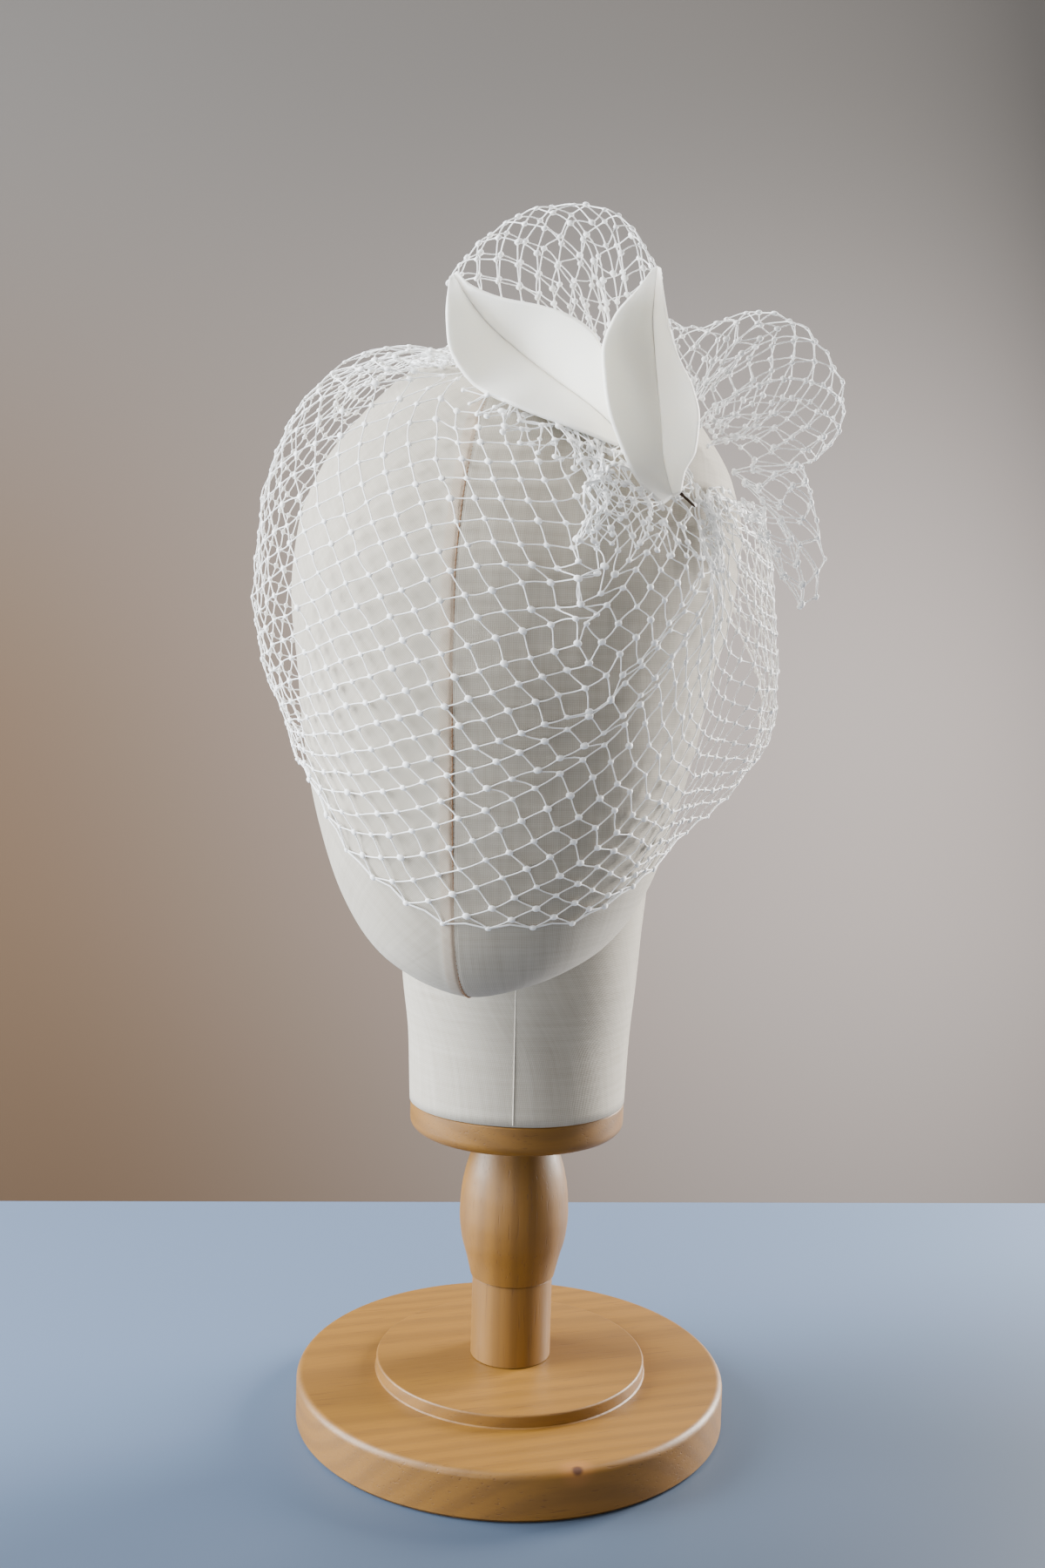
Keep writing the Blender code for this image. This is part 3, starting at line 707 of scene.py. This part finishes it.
def gridPoint(table, u, v):
    # A point of a grid of points between its rows and columns
    i = np.clip(np.floor(u).astype(int), 0, table.shape[0] - 2)
    j = np.clip(np.floor(v).astype(int), 0, table.shape[1] - 2)
    a, b = (u - i)[..., None], (v - j)[..., None]
    return ((table[i, j] * (1 - a) + table[i + 1, j] * a) * (1 - b)
            + (table[i, j + 1] * (1 - a) + table[i + 1, j + 1] * a) * b)


def settled(table, u, v, first, second, pinned, side, look):
    # The knots slide over the surface until the strands are of one length
    across, down = np.gradient(table, axis=0), np.gradient(table, axis=1)
    count = np.bincount(np.concatenate((first, second)), minlength=len(u))
    ease = look["ease"] / np.maximum(count, 1)[:, None]
    for _ in range(look["rounds"]):
        place = gridPoint(table, u, v)
        gap = place[second] - place[first]
        length = np.maximum(np.linalg.norm(gap, axis=1, keepdims=True), 1e-6)
        stiff = np.where(length > side, 1.0, look["slack"])
        pull = gap * (1 - side / length) * stiff / 2
        push = np.zeros_like(place)
        np.add.at(push, first, pull)
        np.add.at(push, second, -pull)
        push = push * ease
        s, t = gridPoint(across, u, v), gridPoint(down, u, v)
        ss, st, tt = (s * s).sum(1), (s * t).sum(1), (t * t).sum(1)
        sp, tp = (s * push).sum(1), (t * push).sum(1)
        area = np.maximum(ss * tt - st * st, 0.02 * ss * tt + 1e-9)
        stepU = np.clip((tt * sp - st * tp) / area, -1, 1)
        stepV = np.clip((ss * tp - st * sp) / area, -1, 1)
        u = np.clip(u + np.where(pinned, 0, stepU), 0, table.shape[0] - 1)
        v = np.clip(v + np.where(pinned, 0, stepV), 0, table.shape[1] - 1)
    return gridPoint(table, u, v)


def ownKnots(held):
    # Every other place of the grid is a knot, like a board's dark squares
    return held & (np.indices(held.shape).sum(axis=0) % 2 == 0)


def besideSum(values):
    return values[1:-1, :-2] + values[1:-1, 2:] + values[:-2, 1:-1] + values[2:, 1:-1]


def knotGrid(table, step, side, spacing, look):
    # Rows of knots on every step-th path of a surface, let settle
    downs, held = knitRows(table[::step], side, spacing)
    count, columns = held.shape
    own = ownKnots(held)
    number = np.full(own.shape, -1)
    number[own] = np.arange(own.sum())
    row, column = np.nonzero(own)
    first, second = [], []
    for aside in (-1, 1):
        inside = (row + 1 < count) & (column + aside >= 0) & (column + aside < columns)
        above = number[row[inside] + 1, column[inside] + aside]
        first.append(number[row[inside], column[inside]][above >= 0])
        second.append(above[above >= 0])
    first, second = np.concatenate(first), np.concatenate(second)
    top = np.ones(len(row), bool)
    top[first] = False
    pinned = top | (row == 0)
    points = settled(table, column * float(step), downs[own], first, second, pinned, side, look)
    grid = gridPoint(table, np.broadcast_to(np.arange(columns) * float(step), held.shape), downs)
    grid[own] = points
    total = besideSum(np.pad(grid * own[..., None], ((1, 1), (1, 1), (0, 0))))
    weight = besideSum(np.pad(own * 1.0, 1))
    spare = ~own & (weight > 0)
    grid[spare] = total[spare] / weight[spare][:, None]
    return grid, held


def loosened(rows, held, amount, seed):
    # Small random shifts, so that no two cells are quite alike
    rng = np.random.default_rng(seed)
    return rows + rng.normal(size=rows.shape) * amount * held[..., None]


def strandLines(rows, held):
    # Each strand's two ends, and the knots before and after it
    count, columns = held.shape
    lines = []
    for j, i in np.argwhere(ownKnots(held[:-1])):
        for d in (-1, 1):
            m = i + d
            if not 0 <= m < columns or not held[j + 1, m]:
                continue
            a, b = rows[j, i], rows[j + 1, m]
            before = rows[j - 1, i - d] if j > 0 and 0 <= i - d < columns else a * 2 - b
            after = b * 2 - a
            if j + 2 < count and 0 <= m + d < columns and held[j + 2, m + d]:
                after = rows[j + 2, m + d]
            lines.append((before, a, b, after))
    return np.array(lines)


def edgeLines(rows, held, column):
    # The thread that closes the net's edge, knot to knot
    tied = rows[:, column][ownKnots(held)[:, column]]
    run = np.concatenate((tied[:1] * 2 - tied[1:2], tied, tied[-1:] * 2 - tied[-2:-1]))
    return np.array([run[k:k + 4] for k in range(len(tied) - 1)])


def curved(lines, steps, stiff, seed):
    # Each strand runs on through its knots in one bowed curve
    rng = np.random.default_rng(seed)
    before, a, b, after = np.moveaxis(lines, 1, 0)
    t = np.linspace(0, 1, steps)[None, :, None]
    start, end = (b - before) * stiff, (after - a) * stiff
    path = hermite(t, a[:, None], start[:, None], b[:, None], end[:, None])
    bow = rng.normal(size=(len(lines), 1, 3)) * 0.22
    return path + bow * np.sin(math.pi * t)


def strandMesh(lines, thread, seed):
    path = curved(lines, 6, 0.5, seed)
    share = np.linspace(0, 1, 6)
    swell = 1 + 1.15 * np.abs(2 * share - 1) ** 7
    return tubeMesh(path, thread * swell, 5)


def knotMesh(points, along, out, size, seed):
    # A small bound knot, a squarish pillow with a waist of wraps
    rng = np.random.default_rng(seed)
    rings, sides = 5, 8
    tilt = np.linspace(-0.42 * math.pi, 0.42 * math.pi, rings)
    turn = np.arange(sides) * 2 * math.pi / sides
    side = unit(np.cross(along, out))
    out = np.cross(side, along)
    grow = rng.uniform(0.8, 1.2, (len(points), 1, 1, 1))
    long = np.sin(tilt)[None, :, None, None] * size[0]
    belly, thick = bent(np.cos(turn), 0.7), bent(np.sin(turn), 0.7)
    waist = np.cos(tilt) ** 0.6 * (1 + 0.12 * np.cos(tilt * 9))
    shape = (points[:, None, None] + grow * (along[:, None, None] * long
             + side[:, None, None] * (waist[:, None] * belly[None, :])[None, :, :, None] * size[1]
             + out[:, None, None] * (waist[:, None] * thick[None, :])[None, :, :, None] * size[2]))
    return shape.reshape(-1, 3), ringFaces(len(points), rings, sides)


def knotFrames(rows, held):
    # Where each knot sits, the way it lies and which way it faces
    own = ownKnots(held)
    j, i = np.nonzero(own)
    down = rows[np.minimum(j + 1, own.shape[0] - 1), i] - rows[np.maximum(j - 1, 0), i]
    side = rows[j, np.minimum(i + 1, own.shape[1] - 1)] - rows[j, np.maximum(i - 1, 0)]
    return rows[own], unit(side), unit(np.cross(side, down))


print("veil")
scale = hemScale()
hemLength = scale[1][-1]
columns = int(round(hemLength / veilLook["half"]))
fine = veilLook["pathsApart"]
alongHem = np.linspace(0, hemLength, columns * fine + 1)
along, down = np.meshgrid(alongHem, np.linspace(0, 1, 160), indexing="ij")
paths = veilPoints(along, down, scale)
runs = np.linalg.norm(np.diff(paths, axis=1), axis=2).sum(axis=1, keepdims=True)
startShare = veilLook["start"] / runs
paths = veilPoints(along, startShare + (1 - startShare) * down, scale)
veilGrid, veilHeld = knotGrid(paths, fine, veilLook["side"], veilLook["spacing"], settleLook)
veilGrid = loosened(veilGrid, veilHeld, veilLook["loose"], 11)
veilLines = strandLines(veilGrid, veilHeld)
veilStrands = netPiece("veilStrands", strandMesh(veilLines, veilLook["thread"], 5))
veilFrames = knotFrames(veilGrid, veilHeld)
veilKnots = netPiece("veilKnots", knotMesh(*veilFrames, veilLook["knot"], 8))
veilHem = netPiece("veilHem", tubeMesh(veilGrid[:1], veilLook["hem"], 6))
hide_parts("veil_net")
print("veil columns", columns, "rows", len(veilGrid), "strands", len(veilLines), "knots", len(veilFrames[0]))


# The net's top edge turned down over itself: how far down, by place along the hem
frillEdge = np.array((
    (236, 0.05), (256, 0.17), (276, 0.22), (300, 0.24), (318, 0.29), (336, 0.38), (362, 0.35),
    (400, 0.26), (440, 0.23), (458, 0.05)))
frillLook = {"columns": 74, "side": 6.4, "lift": 1.7, "wave": 1.0, "waves": 9,
             "spacing": ((0.0, 0.5, 1.0), (0.8, 0.6, 0.2)),
             "thread": 0.2, "knot": (0.95, 0.7, 0.45), "loose": 0.35}


def frillPoints(share, down):
    first, last = frillEdge[0, 0], frillEdge[-1, 0]
    along = first + (last - first) * share
    reach = curveThrough(frillEdge, along)[..., 0]
    points = veilPoints(along, np.clip(0.012 + down * reach, 0, 1), scale)
    outward = unit(points - centre)
    lift = frillLook["lift"] + frillLook["wave"] * np.sin(share * 2 * math.pi * frillLook["waves"]) * down
    return points + outward * (lift * np.clip(down * 4, 0, 1))[..., None]


print("frill")
shares = np.linspace(0, 1, frillLook["columns"] * 3 + 1)
paths = frillPoints(*np.meshgrid(shares, np.linspace(0, 1, 70), indexing="ij"))
frillGrid, frillHeld = knotGrid(paths, 3, frillLook["side"], frillLook["spacing"], settleLook)
frillGrid = loosened(frillGrid, frillHeld, frillLook["loose"], 17)
frillLines = strandLines(frillGrid, frillHeld)
veilFrill = netPiece("veilFrill", strandMesh(frillLines, frillLook["thread"], 18))
frillFrames = knotFrames(frillGrid, frillHeld)
frillKnots = netPiece("veilFrillKnots", knotMesh(*frillFrames, frillLook["knot"], 19))


# Loops of the same net. A fan's rows are degrees off upright and reach; cut is in metres
loopTables = {
    "loop_top": dict(
        root=((26.0, -64.5, 369.0), (34.0, -61.5, 368.0)),
        fan=((-56, 53), (-42, 55.5), (-25, 58), (-10, 57.5), (2, 54.5), (8, 50), (16, 43), (23, 38)),
        seat=0.8, lean=(4.0, 8.0), thick=8.0, clear=5.5, gathers=2, cut=(0.071, 0.105)),
    "loop_upper_right": dict(
        root=((57.0, -49.5, 357.0), (63.0, -44.5, 353.0)),
        fan=((-16, 38), (-4, 35), (6, 36), (16, 42), (30, 51), (43, 55), (58, 56), (79, 51), (91, 41)),
        seat=0.8, lean=(8.0, 24.0), thick=8.0, clear=3.0, gathers=5, cut=(0.084, 0.096)),
    "loop_lower_right": dict(
        root=((70.5, -49.0, 346.5), (73.0, -48.0, 341.5)),
        fan=((88, 27), (106, 31), (120, 37), (130, 44), (138, 47), (146, 49)),
        seat=4.15, lean=(0.0, 4.0), thick=6.0, clear=4.2, gathers=3, cut=(0.04, 0.08)),
}
loopLook = {"side": 7.8, "half": 4.3, "open": 2.2, "start": 4.0, "rise": 8.0, "gatherHigh": 0.9,
            "spacing": ((0.0, 0.5, 1.0), (0.8, 0.6, 0.2)),
            "thread": 0.2, "knot": (1.0, 0.75, 0.5), "loose": 0.25}
loopSettle = {"rounds": 60, "ease": 1.2, "slack": 0.3}


def loopPoints(across, around, shape):
    root = unit(np.array(shape["root"]) - centre)
    root = offHead(root, shape["seat"])
    middle = root[0] + (root[1] - root[0]) * across[..., None]
    fan = np.array(shape["fan"], float)
    angle = np.radians(fan[0, 0] + (fan[-1, 0] - fan[0, 0]) * across)
    reach = curveThrough(fan, np.degrees(angle))[..., 0]
    tip, turn = np.radians(shape["lean"])
    upright = np.array((0.0, math.sin(tip), math.cos(tip)))
    sideways = np.array((math.cos(turn), math.sin(turn), 0.0))
    facing = unit(np.cross(upright, sideways))
    out = np.sin(angle)[..., None] * sideways + np.cos(angle)[..., None] * upright
    rise = np.sin(math.pi * around)
    start = loopLook["start"]
    distance = start + (reach - start) * rise ** 0.8
    ripple = loopLook["gatherHigh"] * (1 - rise) * np.sin(across * 2 * math.pi * shape["gathers"])
    depth = loopLook["open"] * np.cos(math.pi * around) + shape["thick"] * np.sin(2 * math.pi * around)
    points = middle + out * distance[..., None] + facing * (ripple - depth)[..., None]
    risen = np.clip((distance - start) / loopLook["rise"], 0, 1)
    return keptOffHead(points, shape["seat"] + (shape["clear"] - shape["seat"]) * risen)


print("loops")
loopSheets = []
for order, (node, shape) in enumerate(loopTables.items()):
    fan = np.array(shape["fan"], float)
    edge = np.radians(fan[-1, 0] - fan[0, 0]) * fan[:, 1].mean()
    count = max(6, int(round(edge / loopLook["half"])))
    parts, knots = [], []
    for rim in (0, 1):
        half = np.linspace(rim, 0.5, 80)
        across, around = np.meshgrid(np.linspace(0, 1, count * 3 + 1), half, indexing="ij")
        paths = loopPoints(across, around, shape)
        grid, held = knotGrid(paths, 3, loopLook["side"], loopLook["spacing"], loopSettle)
        fold = grid[0].copy()
        grid = loosened(grid, held, loopLook["loose"], 30 + order)
        grid[0] = fold
        edges = [edgeLines(grid, held, column) for column in (0, held.shape[1] - 1)]
        lines = np.concatenate([strandLines(grid, held)] + edges)
        parts.append(strandMesh(lines, loopLook["thread"], 40 + order))
        knots.append(knotMesh(*knotFrames(grid, held), loopLook["knot"], 50 + order))
    name = "".join(part.capitalize() for part in node.split("_"))
    strands = netPiece(name + "Strands", joinedParts(parts))
    tied = netPiece(name + "Knots", joinedParts(knots))
    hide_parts(node)
    loopSheets.append((strands, tied, shape["cut"]))
    print(node, "columns", count)


# The leaves, tip to base: one edge, the crease and the other edge
leftLeaf = np.array((
    ((-12.2, -87, 398.6), (-11, -86.2, 399.6), (-9.8, -87, 400.2)),
    ((-12, -89.7, 389.5), (-7.5, -82.5, 394), (-6, -87.5, 396)),
    ((-11, -90.5, 378.5), (-1.5, -79.5, 386.5), (4, -88.8, 391.5)),
    ((-3.3, -90.5, 366), (8, -78, 378.2), (16.5, -90.5, 388.5)),
    ((11.8, -96, 358), (21.2, -81.8, 368), (26, -92, 385)),
    ((27.8, -97, 352), (33, -87, 359.2), (34.2, -92.5, 379)),
    ((42.4, -92.8, 346.8), (42, -89, 351), (40, -91.5, 366)),
))
rightLeaf = np.array((
    ((49.2, -77.9, 402.2), (50.5, -77.2, 403), (51.8, -77.9, 402.2)),
    ((46.2, -86.2, 394.4), (50, -78.3, 393.6), (53, -80.8, 394.2)),
    ((40.3, -94.3, 384), (49.9, -80.3, 387), (55, -83.4, 384.6)),
    ((37.8, -98.8, 374), (51, -83, 377), (58.2, -84.8, 374.8)),
    ((38.8, -100.6, 364.7), (52.6, -86, 365), (63.2, -87, 364.6)),
    ((40.3, -101.3, 356.4), (54.2, -87.6, 353.8), (65.5, -88.7, 355.2)),
    ((44, -99.6, 346.2), (55, -87.5, 345), (64.7, -87.7, 346)),
    ((49.3, -96.3, 336), (56.4, -87.5, 338.4), (61.6, -86.6, 339.6)),
    ((55.9, -91.1, 329.8), (58.2, -87, 332.6), (60.6, -86, 333.8)),
))
leafLook = {"thick": 1.5, "rows": 72, "columns": 36, "soft": 0.16, "taper": 0.2, "tip": 0.3, "rim": 0.42}


def leafSurface(table, along, across):
    key = np.linspace(0, 1, len(table))
    edges = [curveThrough(np.column_stack((key, table[:, k])), along) for k in range(3)]
    rounded = np.sqrt(across**2 + leafLook["soft"] ** 2) - leafLook["soft"]
    rounded = rounded / (math.sqrt(1 + leafLook["soft"] ** 2) - leafLook["soft"])
    first = np.where(across < 0, rounded, 0.0)[..., None]
    second = np.where(across > 0, rounded, 0.0)[..., None]
    return edges[1] + (edges[0] - edges[1]) * first + (edges[2] - edges[1]) * second


def clothSheet(name, grid, thickness, material, slot):
    # A closed sheet with a rounded rim round a grid of points
    across = np.gradient(grid, axis=0)
    down = np.gradient(grid, axis=1)
    normal = unit(np.cross(across, down))
    rows, cols = grid.shape[:2]
    half = thickness[:, None, None] / 2
    front, back = grid + normal * half, grid - normal * half
    points = np.concatenate((front.reshape(-1, 3), back.reshape(-1, 3)))
    layer = rows * cols
    u = np.cumsum(np.linalg.norm(across, axis=2), axis=0) * mm
    v = np.cumsum(np.linalg.norm(down, axis=2), axis=1) * mm
    uv = np.tile(np.stack((u, v), axis=-1).reshape(-1, 2), (2, 1))
    faces = []
    for i in range(rows - 1):
        for j in range(cols - 1):
            a, b = i * cols + j, (i + 1) * cols + j
            faces.append((a, b, b + 1, a + 1))
            faces.append((layer + a, layer + a + 1, layer + b + 1, layer + b))
    rim = [(i, 0) for i in range(rows)] + [(rows - 1, j) for j in range(1, cols)]
    rim += [(i, cols - 1) for i in range(rows - 2, -1, -1)] + [(0, j) for j in range(cols - 2, 0, -1)]
    inner = grid.reshape(-1, 3).mean(axis=0)
    middle = []
    for i, j in rim:
        toward = grid[i, j] - grid[min(max(i, 1), rows - 2), min(max(j, 1), cols - 2)]
        size = np.linalg.norm(toward)
        toward = toward / size if size > 1e-6 else unit(grid[i, j] - inner)
        middle.append(grid[i, j] + toward * float(thickness[i]) * leafLook["rim"])
    start = 2 * layer
    points = np.concatenate((points, np.array(middle)))
    uv = np.concatenate((uv, np.array([uv[i * cols + j] for i, j in rim])))
    for k, (i, j) in enumerate(rim):
        m, n = rim[(k + 1) % len(rim)]
        a, b = i * cols + j, m * cols + n
        c, d = start + k, start + (k + 1) % len(rim)
        faces.append((a, c, d, b))
        faces.append((c, layer + a, layer + b, d))
    piece = meshPiece(name, points, faces, material, slot, uv=uv)
    work = bmesh.new()
    work.from_mesh(piece.data)
    bmesh.ops.recalc_face_normals(work, faces=work.faces)
    work.to_mesh(piece.data)
    work.free()
    return piece


print("leaves")
for name, table, node in (("leafLeft", leftLeaf, "leaf_left"), ("leafRight", rightLeaf, "leaf_right")):
    steps = -np.cos(np.linspace(0, math.pi, leafLook["columns"] + 1))
    leafAlong, leafAcross = np.meshgrid(np.linspace(0, 1, leafLook["rows"]), steps, indexing="ij")
    taper = np.clip(leafAlong[:, 0] / leafLook["taper"], leafLook["tip"], 1) * leafLook["thick"]
    sheet = clothSheet(name, leafSurface(table, leafAlong, leafAcross), taper, satin, "ivory_satin")
    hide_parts(node)


# The gathered header and the net bunched on it
headerLook = {"cords": 12, "radius": 0.3, "spread": 0.6, "steps": 40, "gap": 1.9}


print("header")
rng = np.random.default_rng(21)
line = offHead(headerWay(np.linspace(0.05, 0.95, headerLook["steps"])), headerLook["gap"])
share = np.linspace(0, 1, len(line))[:, None]
cords = []
for k in range(headerLook["cords"]):
    wave = rng.uniform(0, 6.28, 3)
    rate = rng.uniform(5, 11, 3)
    cords.append(line + np.sin(rate * share + wave) * headerLook["spread"])
header = netPiece("headerBunch", tubeMesh(np.array(cords), headerLook["radius"], 6))
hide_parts("gathered_header")


# The pin through the right leaf
pinLook = {"ends": ((60.8, -84.4, 333.6), (65.2, -82.0, 329.8)),
           "head": 0.55, "shank": 0.4, "tip": (0.3, 0.08)}

print("pin")
pinEnds = np.array(pinLook["ends"])
pinLine = pinEnds[0] + (pinEnds[1] - pinEnds[0]) * np.linspace(0, 1, 12)[:, None]
pinRadius = np.full(12, pinLook["shank"])
pinRadius[-2:] = pinLook["tip"]
pinRadius[:2] = pinLook["head"]
pin = meshPiece("leafPin", *tubeMesh(pinLine[None], pinRadius, 10), steel, "dark_steel")
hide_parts("leaf_pin")

# Cut sizes of the loops' cloth in metres, and a net's area taken as that of its threads; the area is worked
# out but not kept.
for piece, tied, (wide, long) in loopSheets:
    0.33 * wide * long


# The room: a pale table with painted shade and a wall with painted light and shade, square to the camera
# The table's dark tone is painted shade, and the wall's three tones are painted light and shade.
stageLook = {
    "table": rgb("53647c"), "tablePaintedShade": rgb("2c3848"),
    "wallLow": rgb("53402e"), "wallMiddle": rgb("7a7370"), "wallHigh": rgb("54504d"),
    "heading": 14.9, "tableEnd": 0.225, "wallAway": 1.1,
}


def stagePlane(name, corners, material):
    turn = math.radians(stageLook["heading"])
    placed = [(x * math.cos(turn) - y * math.sin(turn), x * math.sin(turn) + y * math.cos(turn), z)
              for x, y, z in corners]
    mesh = bpy.data.meshes.new(name)
    mesh.from_pydata(placed, [], [(0, 1, 2, 3)])
    mesh.materials.append(material)
    linked(name, mesh)


print("stage")
tablePaint = Paint("paleTable")
tx, ty, _ = tablePaint.split(tablePaint.place())
# Painted shade: the table darkens towards its front right.
near = tablePaint.ramp(ty - tx * 0.6, -0.2, 0.12, 1.0, 0.0)
tablePaint.set(Base_Color=tablePaint.mix(near, stageLook["table"], stageLook["tablePaintedShade"]), Roughness=0.6)
wallPaint = Paint("paintedLightWall")
wx, wy, wz = wallPaint.split(wallPaint.place())
# Painted light and shade: the wall is lighter to the right, darker and browner at the lower left, and darker
# towards the top.
side = wallPaint.ramp(wx * 0.96 + wy * 0.26 + wz * 0.3, -0.55, 0.55)
tone = wallPaint.mix(side, stageLook["wallLow"], stageLook["wallMiddle"])
tone = wallPaint.mix(wallPaint.ramp(wz, 0.2, 0.95), tone, stageLook["wallHigh"])
wallPaint.set(Base_Color=tone, Roughness=0.9)
far = stageLook["tableEnd"]
stagePlane("floorTable", ((-3, -3, 0), (3, -3, 0), (3, far, 0), (-3, far, 0)), tablePaint.material)
wall = stageLook["wallAway"]
stagePlane("backWall", ((-4, wall, -2), (4, wall, -2), (4, wall, 4), (-4, wall, 4)), wallPaint.material)


# Light: a broad window at the left, soft fills, and a rim from behind right.
# Each has its place, what it points at, its size, power and colour
lightLook = {
    "windowLeft": ((-1.3, -0.32, 0.72), (0.0, -0.02, 0.28), (1.0, 1.3), 122.0, (0.91, 0.96, 1.0)),
    "skyAbove": ((-0.35, -0.7, 1.35), (0.0, -0.05, 0.34), (1.5, 1.2), 15.0, (1.0, 0.97, 0.93)),
    "tableGlow": ((-0.3, -0.75, 0.06), (0.02, -0.1, 0.24), (0.9, 0.4), 5.5, (0.93, 0.96, 1.0)),
    "rimRight": ((0.85, 0.75, 0.5), (0.0, 0.0, 0.28), (0.4, 0.8), 60.0, (1.0, 0.98, 0.95)),
    "wallWash": ((0.9, 0.2, 0.2), (0.5, 1.1, 0.1), (0.8, 0.8), 17.0, (1.0, 0.97, 0.93)),
}
worldLook = {"colour": (0.68, 0.6, 0.52, 1.0), "strength": 0.24}


def areaLight(name, place, aim, size, power, colour):
    light = bpy.data.lights.new(name, "AREA")
    light.shape = "RECTANGLE"
    light.size, light.size_y = size
    light.energy = power
    light.color = colour
    item = linked(name, light)
    item.location = place
    item.rotation_euler = (Vector(aim) - Vector(place)).to_track_quat("-Z", "Y").to_euler()


print("light")
for name, setting in lightLook.items():
    areaLight(name, *setting)
world = bpy.data.worlds.new("room")
world.use_nodes = True
background = world.node_tree.nodes["Background"].inputs
background["Color"].default_value = worldLook["colour"]
background["Strength"].default_value = worldLook["strength"]
bpy.context.scene.world = world

# Camera
cameraLook = {"place": (0.1022, -0.5514, 0.2776), "turns": ((10.63, "Z"), (85.9, "X"), (1.6, "Z")),
              "lens": 35.0, "sensor": 36.0, "nearest": 0.02}
cameraData = bpy.data.cameras.new("camera")
cameraData.lens = cameraLook["lens"]
cameraData.sensor_width = cameraLook["sensor"]
cameraData.clip_start = cameraLook["nearest"]
camera = linked("camera", cameraData)
pose = Matrix.Translation(cameraLook["place"])
for angle, axis in cameraLook["turns"]:
    pose = pose @ Matrix.Rotation(math.radians(angle), 4, axis)
camera.matrix_world = pose
bpy.context.scene.camera = camera
